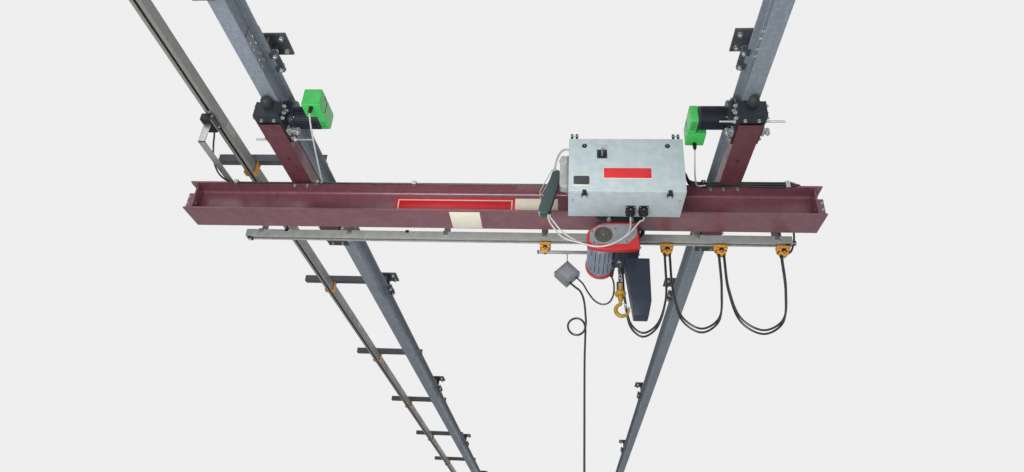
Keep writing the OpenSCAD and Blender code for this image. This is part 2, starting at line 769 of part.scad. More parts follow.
// Front cover, seen from the near side: slanted at its top left and low right corners
module cover_outline() {
    polygon([[hoist_x - hoist_r - 4, hoist_z - 10], [hoist_x - hoist_r + 4, hoist_z + 32],
        [hoist_x - 22, hoist_z + hoist_r - 2], [hoist_x + 24, hoist_z + hoist_r + 2],
        [case_x1 - 17, hoist_z + hoist_r + 2], [case_x1 - 6, hoist_z - hoist_r + 16],
        [case_x1 - 32, hoist_z - hoist_r + 2], [hoist_x - 20, hoist_z - hoist_r],
        [hoist_x - 60, hoist_z - hoist_r + 12], [hoist_x - hoist_r - 4, hoist_z - hoist_r + 32]]);
}

module hoist_front_cover() {
    color("red") along_y(-hoist_front, -hoist_front + 36) cover_outline();
}

module hoist_rear_cover() {
    color("red") translate([hoist_x, 0, hoist_z]) rod_y(hoist_r + 2, hoist_back - 26, hoist_back);
}

// Chain container: slanted at its foot, its left wall leaning in
module container_body(inset) {
    foot = container_h - inset;
    depth = 120 - 2 * inset;
    translate([0, inset, 0]) intersection() {
        along_x(inset, 140 - inset) polygon([[0, 0], [0, 70 - foot], [22, -foot], [depth - 22, -foot],
            [depth, 70 - foot], [depth, 0]]);
        along_y(0, depth) polygon([[inset, inset], [44 + inset, 70 - foot], [58 + inset, -foot],
            [114 - inset, -foot], [134 - inset, 70 - foot], [134 - inset, inset]]);
    }
}

module chain_container() {
    color("black") translate([trolley_x + 26, -50, case_low - rolling]) difference() {
        container_body(0);
        translate([0, 0, -3]) container_body(3);
    }
}

module tow_arm() {
    face_y = trolley_cheek_y + trolley_t;
    color("silver") {
        translate([pendant_x - 40, c_rail_y - 8, tow_z - 8]) cube([355, 16, 16]);
        translate([pendant_x + 299, face_y, tow_z - 8]) cube([16, c_rail_y - face_y + 8, 16]);
        translate([pendant_x + 299, face_y, tow_z - 8]) cube([56, 6, 88]);
        translate([pendant_x, c_rail_y, c_rail_z]) cable_carrier(44);
    }
}

module pendant_junction() {
    color("gray") translate(junction) rotate([0, 45, 0]) translate([-52, -30, -55])
        cube([104, 60, 110]);
    color("silver") translate([337, c_rail_y, tow_z - 8 - 72]) cylinder(r = 3, h = 72);
}

module pendant_station() {
    color("gold") translate([440, c_rail_y, -2560]) {
        translate([-35, -30, -230]) cube([70, 60, 200]);
        translate([0, 0, -31]) cylinder(r1 = 20, r2 = 9, h = 31);
    }
}

// One link of the chain, standing in the XZ plane, its middle at the origin
module chain_link() {
    straight = link_pitch + chain_d - 2 * chain_bend;
    for (m = [0, 1]) mirror([m, 0, 0]) translate([chain_bend, 0, -straight / 2])
        cylinder(d = chain_d, h = straight, $fn = 20);
    for (m = [0, 1]) mirror([0, 0, m]) translate([0, 0, straight / 2]) rotate([90, 0, 0])
        rotate_extrude(angle = 180) translate([chain_bend, 0]) circle(d = chain_d, $fn = 20);
}

module load_chain() {
    color("silver")
    for (i = [0 : link_count - 1])
        translate([trolley_x, 0, block_z + 6 + i * link_pitch]) rotate([0, 0, i % 2 == 0 ? 45 : 135])
            chain_link();
}

module hook_block() {
    color("gold") translate([trolley_x, 0, block_z]) {
        difference() {
            translate([-19, -17, -56]) cube([38, 34, 56]);
            translate([0, 0, -14]) cylinder(r = chain_bore, h = 15);
        }
        translate([0, 0, -80]) cylinder(r = 30, h = 24 + EPS);
    }
}

// Forged hook: collar, neck and a bowl that is open on its right
module hook() {
    wire = 10;
    bowl_r = 34;
    neck = 50;
    turn = 12;
    color("gold") translate([trolley_x, 0, block_z - 80 - rolling]) {
        translate([0, 0, -26]) cylinder(r = 15, h = 26);
        translate([0, 0, -neck - 4]) cylinder(r = wire + 1.5, h = neck + 4);
        translate([bowl_r * sin(turn), 0, -neck - bowl_r * cos(turn)]) rotate([90, 0, 0]) {
            rotate([0, 0, 90 + turn]) rotate_extrude(angle = 250) translate([bowl_r, 0])
                circle(r = wire);
            rotate([0, 0, 340 + turn - 360]) translate([bowl_r, 0, 0]) rotate([-90, 0, 0])
                cylinder(r1 = wire + 1, r2 = wire - 5, h = 14);
        }
    }
}

// Two cables side by side, the far one hanging a little deeper
module festoon_cables(route) {
    m = len(route) - 1;
    color("black") {
        cord([for (p = route) p - [0, festoon_gap, 0]], festoon_d, [0, 1, 0]);
        cord([for (i = [0 : m]) route[i] + [0, festoon_gap, -16 * sin(180 * i / m)]],
            festoon_d, [0, 1, 0]);
    }
}

module pendant_cable() {
    color("black") {
        cord(pendant_run, pendant_d, [0, 1, 0]);
        translate([394, c_rail_y + pendant_d + 0.1, -571]) rotate([90, 0, 0])
            rotate_extrude() translate([50, 0]) circle(d = pendant_d);
    }
}

module drive_leads() {
    color("gray") {
        cord(drive_lead_right, 9, [1, 0, 0]);
        cord(drive_lead_left, 9, [1, 0, 0]);
    }
}

module cabinet_leads() {
    color("gray") {
        cord(cabinet_lead, 9, [0, 1, 0]);
        cord(cabinet_lead_far, 9, [0, 1, 0]);
    }
}

module girder_leads() {
    color("black") {
        cord(girder_lead, 12, [0, 0.2, 1]);
        cord(collector_lead, 10, [0, 0.2, 1]);
    }
}

module pendant_feed_lead() {
    color("black") cord(pendant_feed, 10, [0, 1, 0]);
}

placed() track(-1);  // track_left
placed() track(1);  // track_right
placed() track_hangers(-1);  // track_hangers_left
placed() track_hangers(1);  // track_hangers_right
placed() track_stops();
placed() conductor_rail();
placed() conductor_arms();
placed() girder();
placed() carriage(-1);  // carriage_left
placed() carriage(1);  // carriage_right
placed() carriage_cheeks();
placed() carriage_buffers();
placed() gauge_rods();
placed() clamp_castings();
placed() drive(-1);  // drive_left
placed() drive(1);  // drive_right
placed() drive_cover(-1);  // drive_hood_left
placed() drive_cover(1);  // drive_hood_right
placed() cabinet_shell();
placed() cabinet_brackets();
placed() cabinet_plugs();
placed() festoon_rail();
placed() festoon_brackets();
placed() festoon_anchor();
placed() cable_clips();
placed() collector();
placed() cabinet_door();
placed() main_switch();
placed() runway_wheels(-axle_y);  // near_wheels
placed() runway_wheels(axle_y);  // far_wheels
placed() trolley_frame();
placed() hoist_motor();
placed() hoist_gear_case();
placed() hoist_front_cover();
placed() hoist_rear_cover();
placed() chain_container();
placed() tow_arm();
placed() pendant_junction();
placed() trolley_wheels(-1);  // trolley_wheels_left
placed() trolley_wheels(1);  // trolley_wheels_right
placed() load_chain();
placed() hook_block();
placed() hook();
placed() festoon_trolley(0);  // festoon_trolley_1
placed() festoon_trolley(1);  // festoon_trolley_2
placed() festoon_cables(loop_1);  // festoon_loop_1
placed() festoon_cables(loop_2);  // festoon_loop_2
placed() festoon_cables(loop_3);  // festoon_loop_3
placed() pendant_cable();
placed() pendant_station();
placed() pendant_feed_lead();  // pendant_lead
placed() drive_leads();
placed() cabinet_leads();
placed() girder_leads();
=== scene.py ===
"""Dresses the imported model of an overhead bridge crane: meshes, cables, finishes, camera and light.

Sizes in the classes are millimetres in the bridge's own frame, as in the part's source: X from mid
span towards the right beam, Y from the girder's web away from the camera, Z from the girder's
underside. Form.build() and at() turn them into the row's metres.
"""

import logging
import math
from contextlib import contextmanager
from dataclasses import dataclass
from enum import Enum
from itertools import product
from typing import Callable, Iterator, Sequence

import bmesh
import bpy
from mathutils import Matrix, Vector


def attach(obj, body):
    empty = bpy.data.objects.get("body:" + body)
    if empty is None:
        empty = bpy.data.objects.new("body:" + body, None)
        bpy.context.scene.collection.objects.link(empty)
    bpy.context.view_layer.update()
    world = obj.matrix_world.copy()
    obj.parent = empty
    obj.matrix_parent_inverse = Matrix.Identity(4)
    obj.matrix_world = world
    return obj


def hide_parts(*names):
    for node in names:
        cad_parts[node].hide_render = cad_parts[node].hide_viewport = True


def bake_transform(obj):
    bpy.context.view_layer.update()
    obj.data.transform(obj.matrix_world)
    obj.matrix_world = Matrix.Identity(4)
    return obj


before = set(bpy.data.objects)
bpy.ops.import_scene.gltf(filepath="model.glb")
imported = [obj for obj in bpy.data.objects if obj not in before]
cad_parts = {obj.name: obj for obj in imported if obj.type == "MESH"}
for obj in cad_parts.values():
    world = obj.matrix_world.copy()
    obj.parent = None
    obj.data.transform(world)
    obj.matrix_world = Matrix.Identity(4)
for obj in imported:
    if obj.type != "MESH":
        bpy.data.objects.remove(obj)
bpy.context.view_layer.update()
LOG = logging.getLogger("crane")
Point = Sequence[float]
METRE = 1000
CORNERS = tuple(product((-1, 1), (-1, 1)))
BRIDGE_AT = (1.25, 0.82, -0.6)
BOX_FACES = ((0, 1, 3, 2), (4, 6, 7, 5), (0, 4, 5, 1), (2, 3, 7, 6), (0, 2, 6, 4), (1, 5, 7, 3))


def at(x: float, y: float, z: float) -> Vector:
    """Turns a place in the bridge's frame into the row's frame.

    Args:
        x: Millimetres from mid span.
        y: Millimetres from the girder's web.
        z: Millimetres from the girder's underside.

    Returns:
        The place in the row frame, in metres.
    """
    return Vector((x / METRE + BRIDGE_AT[0], y / METRE + BRIDGE_AT[1], z / METRE + BRIDGE_AT[2]))


def shade(red: int, green: int, blue: int) -> tuple[float, float, float, float]:
    """Turns a screen colour of 0 to 255 into the linear colour that a shader takes.

    Args:
        red: Red.
        green: Green.
        blue: Blue.

    Returns:
        Linear red, green, blue and an alpha of one.
    """
    linear = [c / 3294.6 if c <= 10 else ((c / 255 + 0.055) / 1.055) ** 2.4 for c in (red, green, blue)]
    return (linear[0], linear[1], linear[2], 1.0)


def cosine(degrees: float) -> float:
    """Gives the cosine of an angle in degrees."""
    return math.cos(math.radians(degrees))


def sine(degrees: float) -> float:
    """Gives the sine of an angle in degrees."""
    return math.sin(math.radians(degrees))


class Axis(Enum):
    """Direction that a turned or pushed shape runs along."""

    X = 0
    Y = 1
    Z = 2


class Pattern(Enum):
    """How a finish breaks up over a surface."""

    SPRAYED = "sprayed paint"
    ROLLED = "rolled or drawn metal"
    SPANGLED = "zinc spangle"
    CAST = "cast surface"
    MOULDED = "moulded plastic"
    JACKET = "cable jacket"


@dataclass(frozen=True)
class Finish:
    """One surface finish, its colours as screen colours of 0 to 255."""

    name: str
    colour: tuple[int, int, int]
    # Edge colour: worn paint on most finishes, a painted highlight on the chain container.
    worn_and_lit_edge: tuple[int, int, int]
    pattern: Pattern = Pattern.SPRAYED
    dust: tuple[int, int, int] = (150, 143, 132)
    roughness: float = 0.45
    metallic: float = 0.0
    coat: float = 0.0
    patch_size: float = 6.0
    patches: float = 0.35
    # How much of the edge colour the edges take; on the chain container that is a painted highlight.
    edge_wear_and_highlight: float = 0.35
    dusting: float = 0.35
    grain_size: float = 900.0
    grain: float = 0.12
    edge: float = 0.0015
    specular: float = 0.5


BEAM_GREY = Finish("beam_grey", (128, 137, 147), (120, 104, 96), Pattern.ROLLED, roughness=0.48, edge_wear_and_highlight=0.1,
    dusting=0.2, grain_size=240, grain=0.05, edge=0.0)
HANGER_GREY = Finish("hanger_grey", (66, 71, 76), (104, 84, 70), roughness=0.5, dusting=0.2, edge_wear_and_highlight=0.15,
    grain_size=240, grain=0.05)
RAIL_PLASTIC = Finish("rail_plastic", (136, 135, 130), (120, 120, 124), Pattern.MOULDED, roughness=0.4,
    patches=0.12, edge_wear_and_highlight=0.0, dusting=0.12, grain_size=160, grain=0.0, edge=0.0)
RAIL_ZINC = Finish("rail_zinc", (168, 170, 166), (132, 134, 136), roughness=0.3, metallic=0.2, coat=0.15,
    patches=0.3, edge_wear_and_highlight=0.1, dusting=0.12, grain_size=240, grain=0.04)
OXIDE_RED = Finish("oxide_red", (116, 67, 78), (88, 54, 62), roughness=0.32, coat=0.5, patches=0.4, edge_wear_and_highlight=0.2,
    dusting=0.1, grain_size=420, grain=0.08)
CARRIAGE_RED = Finish("carriage_red", (94, 52, 58), (84, 70, 72), roughness=0.4, coat=0.1, patches=0.4,
    edge_wear_and_highlight=0.25, dusting=0.06, grain_size=420, grain=0.08, specular=0.35)
PLATE_DARK = Finish("plate_dark", (34, 41, 47), (84, 88, 90), roughness=0.4, patches=0.4, edge_wear_and_highlight=0.45,
    dusting=0.12, specular=0.35)
ZINC = Finish("zinc", (190, 192, 190), (150, 150, 146), Pattern.SPANGLED, roughness=0.36, metallic=0.9,
    patches=0.4, edge_wear_and_highlight=0.25, dusting=0.25, edge=0.0008)
GALVANISED = Finish("galvanised", (166, 170, 172), (132, 134, 136), Pattern.SPANGLED, roughness=0.4,
    metallic=0.75, patches=0.4, edge_wear_and_highlight=0.2, dusting=0.3)
BUFFER_RUBBER = Finish("buffer_rubber", (40, 42, 44), (78, 78, 78), Pattern.CAST, roughness=0.6, patches=0.3,
    edge_wear_and_highlight=0.3)
MOTOR_BLACK = Finish("motor_black", (30, 37, 47), (74, 80, 88), Pattern.CAST, roughness=0.36, patches=0.3,
    edge_wear_and_highlight=0.25, dusting=0.08, grain=0.2, specular=0.4)
HOOD_GREEN = Finish("hood_green", (58, 178, 82), (84, 200, 104), Pattern.MOULDED, roughness=0.36, coat=0.15,
    patches=0.2, edge_wear_and_highlight=0.15, dusting=0.06)
CABINET_GREY = Finish("cabinet_grey", (178, 190, 193), (170, 176, 178), Pattern.SPRAYED, roughness=0.42,
    patches=0.22, edge_wear_and_highlight=0.15, dusting=0.2, grain=0.22, grain_size=1400)
BLACK_PLASTIC = Finish("black_plastic", (20, 21, 23), (56, 56, 58), Pattern.MOULDED, roughness=0.4,
    patches=0.25, edge_wear_and_highlight=0.25, dusting=0.1, specular=0.4)
GREY_PLASTIC = Finish("grey_plastic", (170, 172, 168), (140, 140, 138), Pattern.MOULDED, patches=0.25, edge_wear_and_highlight=0.2)
SWITCH_GREY = Finish("switch_grey", (110, 113, 120), (96, 98, 100), Pattern.MOULDED, roughness=0.4)
WHEEL_STEEL = Finish("wheel_steel", (96, 96, 98), (168, 166, 162), Pattern.ROLLED, roughness=0.34,
    metallic=0.85, patches=0.5, edge_wear_and_highlight=0.6, dusting=0.2)
HOUSING_SILVER = Finish("housing_silver", (146, 156, 172), (190, 194, 200), Pattern.CAST, roughness=0.3,
    metallic=0.55, patches=0.3, edge_wear_and_highlight=0.45, dusting=0.1, grain=0.2)
HOIST_RED = Finish("hoist_red", (176, 24, 24), (150, 26, 24), Pattern.MOULDED, roughness=0.3, coat=0.25,
    patches=0.2, edge_wear_and_highlight=0.2, dusting=0.2)
PANEL_GREY = Finish("panel_grey", (128, 130, 134), (122, 122, 124), Pattern.MOULDED, roughness=0.42,
    patches=0.2, edge_wear_and_highlight=0.2)
VENT_BROWN = Finish("vent_brown", (84, 80, 74), (64, 60, 56), Pattern.MOULDED, roughness=0.6, edge_wear_and_highlight=0.2)
# The chain container's pale edge colour, laid on strongly along its rims and ribs, is a painted highlight.
CONTAINER_BLACK = Finish("container_black", (40, 47, 59), (132, 142, 154), Pattern.MOULDED, roughness=0.4,
    patches=0.2, edge_wear_and_highlight=0.6, dusting=0.03, edge=0.003, specular=0.25)
CHAIN_STEEL = Finish("chain_steel", (120, 118, 112), (70, 62, 54), Pattern.ROLLED, roughness=0.36,
    metallic=0.85, patches=0.5, edge_wear_and_highlight=0.3, dusting=0.15)
HOOK_YELLOW = Finish("hook_yellow", (160, 122, 16), (96, 80, 58), roughness=0.36, coat=0.15, patches=0.3,
    edge_wear_and_highlight=0.5, dusting=0.2)
CARRIER_YELLOW = Finish("carrier_yellow", (222, 150, 30), (160, 108, 34), Pattern.MOULDED, roughness=0.42,
    patches=0.25, edge_wear_and_highlight=0.25)
CABLE_BLACK = Finish("cable_black", (19, 20, 23), (70, 70, 74), Pattern.JACKET, roughness=0.24, coat=0.5,
    patches=0.2, edge_wear_and_highlight=0.1, dusting=0.08, grain=0.06)
CABLE_GREY = Finish("cable_grey", (186, 186, 182), (150, 148, 142), Pattern.JACKET, roughness=0.46,
    patches=0.25, edge_wear_and_highlight=0.2)
SIGN_RED = Finish("sign_red", (204, 26, 36), (160, 26, 30), Pattern.MOULDED, roughness=0.32, coat=0.2,
    patches=0.12, edge_wear_and_highlight=0.1, dusting=0.15, grain=0.04)
SIGN_CREAM = Finish("sign_cream", (226, 218, 200), (196, 186, 168), Pattern.MOULDED, roughness=0.34,
    patches=0.15, edge_wear_and_highlight=0.1, dusting=0.15, grain=0.04)
LABEL_DARK = Finish("label_dark", (52, 56, 60), (80, 84, 88), Pattern.MOULDED, roughness=0.3, patches=0.2,
    edge_wear_and_highlight=0.1, grain=0.04)
HOOD_DARK = Finish("hood_dark", (44, 62, 60), (104, 114, 112), Pattern.CAST, roughness=0.38, coat=0.15,
    edge_wear_and_highlight=0.4, dusting=0.12)
BUTTON_RED = Finish("button_red", (190, 24, 22), (150, 20, 20), Pattern.MOULDED, roughness=0.3)
CONTACTOR_IVORY = Finish("contactor_ivory", (206, 204, 192), (180, 176, 160), Pattern.MOULDED, roughness=0.5,
    edge_wear_and_highlight=0.1)


class Graph:
    """Builds a shader node tree in a few words."""

    def __init__(self, tree: bpy.types.NodeTree) -> None:
        """Keeps the tree that nodes go into."""
        self.tree = tree

    def node(self, kind: str, settings: dict[str, object] | None = None, **values: object) -> bpy.types.Node:
        """Adds a node.

        Args:
            kind: The node's type, without the ShaderNode at its start.
            settings: Properties of the node itself.
            **values: Input name to a value or to the output socket that feeds it. An underscore
                stands for a space.

        Returns:
            The node.
        """
        made = self.tree.nodes.new("ShaderNode" + kind)
        for key, value in (settings or {}).items():
            setattr(made, key, value)
        for key, value in values.items():
            socket = made.inputs[int(key[1:])] if key[0] == "_" else made.inputs[key.replace("_", " ")]
            if isinstance(value, bpy.types.NodeSocket):
                self.tree.links.new(value, socket)
            else:
                socket.default_value = value
        return made

    def maths(self, operation: str, first: object, second: object = 0.0) -> bpy.types.NodeSocket:
        """Adds a Math node and gives its result."""
        return self.node("Math", {"operation": operation, "use_clamp": False}, _0=first, _1=second).outputs[0]

    def spread(self, value: object, low: float, high: float, to_low: float = 0.0, to_high: float = 1.0
               ) -> bpy.types.NodeSocket:
        """Maps a value's range smoothly onto another range.

        Args:
            value: The socket to map.
            low: Where the range starts.
            high: Where it ends.
            to_low: What the start becomes.
            to_high: What the end becomes.

        Returns:
            The mapped value.
        """
        made = self.node("MapRange", {"interpolation_type": "SMOOTHSTEP"}, Value=value, From_Min=low,
            From_Max=high, To_Min=to_low, To_Max=to_high)
        return made.outputs[0]

    def mix(self, share: object, first: object, second: object) -> bpy.types.NodeSocket:
        """Mixes two colours and gives the mixed one."""
        made = self.node("Mix", {"data_type": "RGBA"}, _0=share, _6=first, _7=second)
        return made.outputs[2]

    def place(self) -> bpy.types.NodeSocket:
        """Gives the place on the surface in metres."""
        return self.node("TexCoord").outputs["Object"]

    def noise(self, scale: object, detail: float = 4.0, vector: object | None = None, seed: float = 0.0
              ) -> bpy.types.NodeSocket:
        """Gives a noise value over the surface.

        Args:
            scale: How fine it is, or the socket that says so.
            detail: Levels of detail.
            vector: The place on the surface, metres where none is given.
            seed: Tells one noise from another.

        Returns:
            The value, from 0 to 1.
        """
        made = self.node("TexNoise", {"noise_dimensions": "4D"}, Vector=vector or self.place(), Scale=scale,
            Detail=detail, W=seed)
        return made.outputs["Fac"]


def effect(name: str, inputs: dict[str, float], outputs: Sequence[str],
           make: Callable[[Graph, dict[str, bpy.types.NodeSocket]], dict[str, bpy.types.NodeSocket]]
           ) -> bpy.types.NodeTree:
    """Builds a shared shader node group once.

    Args:
        name: The group's name.
        inputs: Input names with their default values.
        outputs: Output names.
        make: Fills the group and returns what feeds each output.

    Returns:
        The group's node tree.
    """
    if name in bpy.data.node_groups:
        return bpy.data.node_groups[name]
    tree = bpy.data.node_groups.new(name, "ShaderNodeTree")
    for key, value in inputs.items():
        tree.interface.new_socket(name=key, in_out="INPUT", socket_type="NodeSocketFloat").default_value = value
    for key in outputs:
        tree.interface.new_socket(name=key, in_out="OUTPUT", socket_type="NodeSocketFloat")
    entry, leave = tree.nodes.new("NodeGroupInput"), tree.nodes.new("NodeGroupOutput")
    for key, socket in make(Graph(tree), {key: entry.outputs[key] for key in inputs}).items():
        tree.links.new(socket, leave.inputs[key])
    return tree


def weathering() -> bpy.types.NodeTree:
    """Gives the group that finds stained patches, edges for worn paint and painted highlight, and settled dust.

    Returns:
        A group with the inputs Patch Scale and Edge Width and the outputs Patches, Edges and Dust.
    """

    def make(g: Graph, given: dict[str, bpy.types.NodeSocket]) -> dict[str, bpy.types.NodeSocket]:
        """Fills the group.

        Args:
            g: The group's nodes.
            given: The group's inputs.

        Returns:
            What feeds each output.
        """
        broad = g.noise(given["Patch Scale"], 5.0)
        fine = g.noise(g.maths("MULTIPLY", given["Patch Scale"], 9.0), 6.0, seed=3.0)
        both = g.maths("ADD", g.maths("MULTIPLY", broad, 0.65), g.maths("MULTIPLY", fine, 0.35))
        patches = g.spread(both, 0.42, 0.66)
        geometry = g.node("NewGeometry")
        rounded = g.node("Bevel", {"samples": 4}, Radius=given["Edge Width"])
        turn = g.node("VectorMath", {"operation": "DOT_PRODUCT"}, _0=rounded.outputs[0],
            _1=geometry.outputs["Normal"]).outputs["Value"]
        rim = g.spread(turn, 0.995, 0.9)
        # Breaks up the edge mask, which carries worn paint and, on the chain container, a painted highlight.
        edge_breakup = g.spread(g.noise(140.0, 5.0, seed=7.0), 0.46, 0.6)
        edges = g.maths("MULTIPLY", rim, edge_breakup)
        up = g.node("SeparateXYZ", Vector=geometry.outputs["Normal"]).outputs["Z"]
        settled = g.maths("MULTIPLY", g.spread(up, 0.2, 0.95),
            g.spread(g.noise(30.0, 5.0, seed=11.0), 0.25, 0.75))
        film = g.maths("MULTIPLY", g.spread(g.noise(11.0, 6.0, seed=13.0), 0.45, 0.8), 0.35)
        return {"Patches": patches, "Edges": edges, "Dust": g.maths("MAXIMUM", settled, film)}

    return effect("weathering", {"Patch Scale": 6.0, "Edge Width": 0.0015}, ("Patches", "Edges", "Dust"), make)


def surface_grain(pattern: Pattern) -> bpy.types.NodeTree:
    """Gives the group with the fine height and shade variation of a pattern.

    Args:
        pattern: The kind of surface.

    Returns:
        A group with the input Grain Scale and the outputs Height and Shade.
    """

    def make(g: Graph, given: dict[str, bpy.types.NodeSocket]) -> dict[str, bpy.types.NodeSocket]:
        """Fills the group for this pattern.

        Args:
            g: The group's nodes.
            given: The group's inputs.

        Returns:
            What feeds each output.
        """
        scale = given["Grain Scale"]
        fine = g.noise(scale, 3.0, seed=1.0)
        if pattern is Pattern.ROLLED:
            drawn = g.node("Mapping", _3=(1.0, 0.04, 1.0), Vector=g.place()).outputs[0]
            lines = g.noise(g.maths("MULTIPLY", scale, 0.35), 6.0, vector=drawn, seed=2.0)
            scale_marks = g.spread(g.noise(60.0, 6.0, seed=4.0), 0.4, 0.7)
            height = g.maths("ADD", g.maths("MULTIPLY", lines, 0.6), g.maths("MULTIPLY", scale_marks, 0.4))
            return {"Height": height, "Shade": g.spread(height, 0.25, 0.8)}
        if pattern is Pattern.SPANGLED:
            cells = g.node("TexVoronoi", {"feature": "F1"}, Vector=g.place(), Scale=260.0)
            tone = g.node("SeparateColor", Color=cells.outputs["Color"]).outputs["Red"]
            return {"Height": g.maths("ADD", g.maths("MULTIPLY", tone, 0.3), g.maths("MULTIPLY", fine, 0.5)),
                "Shade": g.spread(tone, 0.0, 1.0, 0.2, 0.9)}
        if pattern is Pattern.CAST:
            lumps = g.noise(g.maths("MULTIPLY", scale, 0.3), 6.0, seed=5.0)
            return {"Height": g.maths("ADD", g.maths("MULTIPLY", lumps, 0.7), g.maths("MULTIPLY", fine, 0.4)),
                "Shade": g.spread(lumps, 0.3, 0.75)}
        if pattern is Pattern.JACKET:
            rings = g.noise(g.maths("MULTIPLY", scale, 0.12), 5.0, seed=6.0)
            return {"Height": g.maths("ADD", g.maths("MULTIPLY", rings, 0.6), g.maths("MULTIPLY", fine, 0.3)),
                "Shade": g.spread(rings, 0.35, 0.7)}
        peel = g.noise(g.maths("MULTIPLY", scale, 0.5 if pattern is Pattern.SPRAYED else 1.6), 2.0, seed=8.0)
        return {"Height": peel, "Shade": g.spread(g.noise(24.0, 5.0, seed=9.0), 0.3, 0.75)}

    return effect("grain_" + pattern.name.lower(), {"Grain Scale": 900.0}, ("Height", "Shade"), make)


def material(finish: Finish) -> bpy.types.Material:
    """Gives the material of a finish, made once.

    Args:
        finish: The finish.

    Returns:
        The material.
    """
    name = "finish_" + finish.name
    if name in bpy.data.materials:
        return bpy.data.materials[name]
    made = bpy.data.materials.new(name)
    made.use_nodes = True
    made.diffuse_color = shade(*finish.colour)
    tree = made.node_tree
    tree.nodes.clear()
    g = Graph(tree)
    weather = g.node("Group", {"node_tree": weathering()}, Patch_Scale=finish.patch_size,
        Edge_Width=finish.edge)
    grain = g.node("Group", {"node_tree": surface_grain(finish.pattern)}, Grain_Scale=finish.grain_size)
    base = shade(*finish.colour)
    deeper = tuple(c * (1 - 0.45 * finish.patches) for c in base[:3]) + (1.0,)
    lighter = tuple(min(1.0, c * (1 + 0.3 * finish.patches)) for c in base[:3]) + (1.0,)
    tone = g.mix(grain.outputs["Shade"], deeper, lighter)
    tone = g.mix(g.maths("MULTIPLY", weather.outputs["Patches"], finish.patches * 0.6), tone, deeper)
    tone = g.mix(g.maths("MULTIPLY", weather.outputs["Dust"], finish.dusting), tone, shade(*finish.dust))
    # Edges take the finish's edge colour: worn paint on most finishes, a painted highlight on the chain
    # container.
    tone = g.mix(g.maths("MULTIPLY", weather.outputs["Edges"], finish.edge_wear_and_highlight), tone, shade(*finish.worn_and_lit_edge))
    rough = g.spread(weather.outputs["Patches"], 0.0, 1.0, finish.roughness, min(0.95, finish.roughness + 0.22))
    rough = g.maths("ADD", rough, g.maths("MULTIPLY", weather.outputs["Dust"], 0.25 * finish.dusting))
    rounded = g.node("Bevel", {"samples": 4}, Radius=finish.edge)
    bump = g.node("Bump", Strength=finish.grain, Distance=0.0006, Height=grain.outputs["Height"],
        Normal=rounded.outputs[0])
    shader = g.node("BsdfPrincipled", Base_Color=tone, Roughness=rough, Normal=bump.outputs[0])
    shader.inputs["Metallic"].default_value = finish.metallic
    shader.inputs["Specular IOR Level"].default_value = finish.specular
    shader.inputs["Coat Weight"].default_value = finish.coat
    shader.inputs["Coat Roughness"].default_value = 0.25
    leave = g.node("OutputMaterial", Surface=shader.outputs[0])
    leave.is_active_output = True
    return made


def smooth_route(points: Sequence[Point], count: int) -> list[Vector]:
    """Lays a smooth curve through given points.

    Args:
        points: Points of the route, in the bridge's frame.
        count: How many points the curve gets.

    Returns:
        Evenly spaced points of the curve, in the bridge's frame.
    """
    p = [Vector(q) for q in points]
    p = [2 * p[0] - p[1], *p, 2 * p[-1] - p[-2]]
    dense: list[Vector] = []
    for i in range(1, len(p) - 2):
        span = [max((p[i + j + 1] - p[i + j]).length, 1e-6) ** 0.5 for j in (-1, 0, 1)]
        for k in range(24):
            t = k / 24 * span[1]
            t0, t1, t2, t3 = -span[0], 0.0, span[1], span[1] + span[2]
            a1 = (t1 - t) / (t1 - t0) * p[i - 1] + (t - t0) / (t1 - t0) * p[i]
            a2 = (t2 - t) / (t2 - t1) * p[i] + (t - t1) / (t2 - t1) * p[i + 1]
            a3 = (t3 - t) / (t3 - t2) * p[i + 1] + (t - t2) / (t3 - t2) * p[i + 2]
            b1 = (t2 - t) / (t2 - t0) * a1 + (t - t0) / (t2 - t0) * a2
            b2 = (t3 - t) / (t3 - t1) * a2 + (t - t1) / (t3 - t1) * a3
            dense.append((t2 - t) / (t2 - t1) * b1 + (t - t1) / (t2 - t1) * b2)
    dense.append(p[-2])
    run = [0.0]
    for a, b in zip(dense, dense[1:]):
        run.append(run[-1] + (b - a).length)
    even, j = [], 0
    for k in range(count):
        want = run[-1] * k / (count - 1)
        while j < len(run) - 2 and run[j + 1] < want:
            j += 1
        share = (want - run[j]) / max(run[j + 1] - run[j], 1e-9)
        even.append(dense[j].lerp(dense[j + 1], min(1.0, share)))
    return even


def route_length(points: Sequence[Vector]) -> float:
    """Gives the length of a route, in the unit of its points."""
    return sum((b - a).length for a, b in zip(points, points[1:]))


def box_corners(low: Point, high: Point) -> list[Point]:
    """Gives the eight corners of a box between two opposite ones, in the order that BOX_FACES takes."""
    xs, ys, zs = (sorted((low[i], high[i])) for i in range(3))
    return [(x, y, z) for x in xs for y in ys for z in zs]


def faceted(corners: Sequence[Point], faces: Sequence[Sequence[int]]) -> bmesh.types.BMesh:
    """Makes a mesh with its normals in order.

    Args:
        corners: The corners.
        faces: Corner numbers of each face.

    Returns:
        The mesh, which the caller frees.
    """
    part = bmesh.new()
    verts = [part.verts.new(c) for c in corners]
    for face in faces:
        part.faces.new([verts[i] for i in face])
    bmesh.ops.recalc_face_normals(part, faces=part.faces[:])
    return part


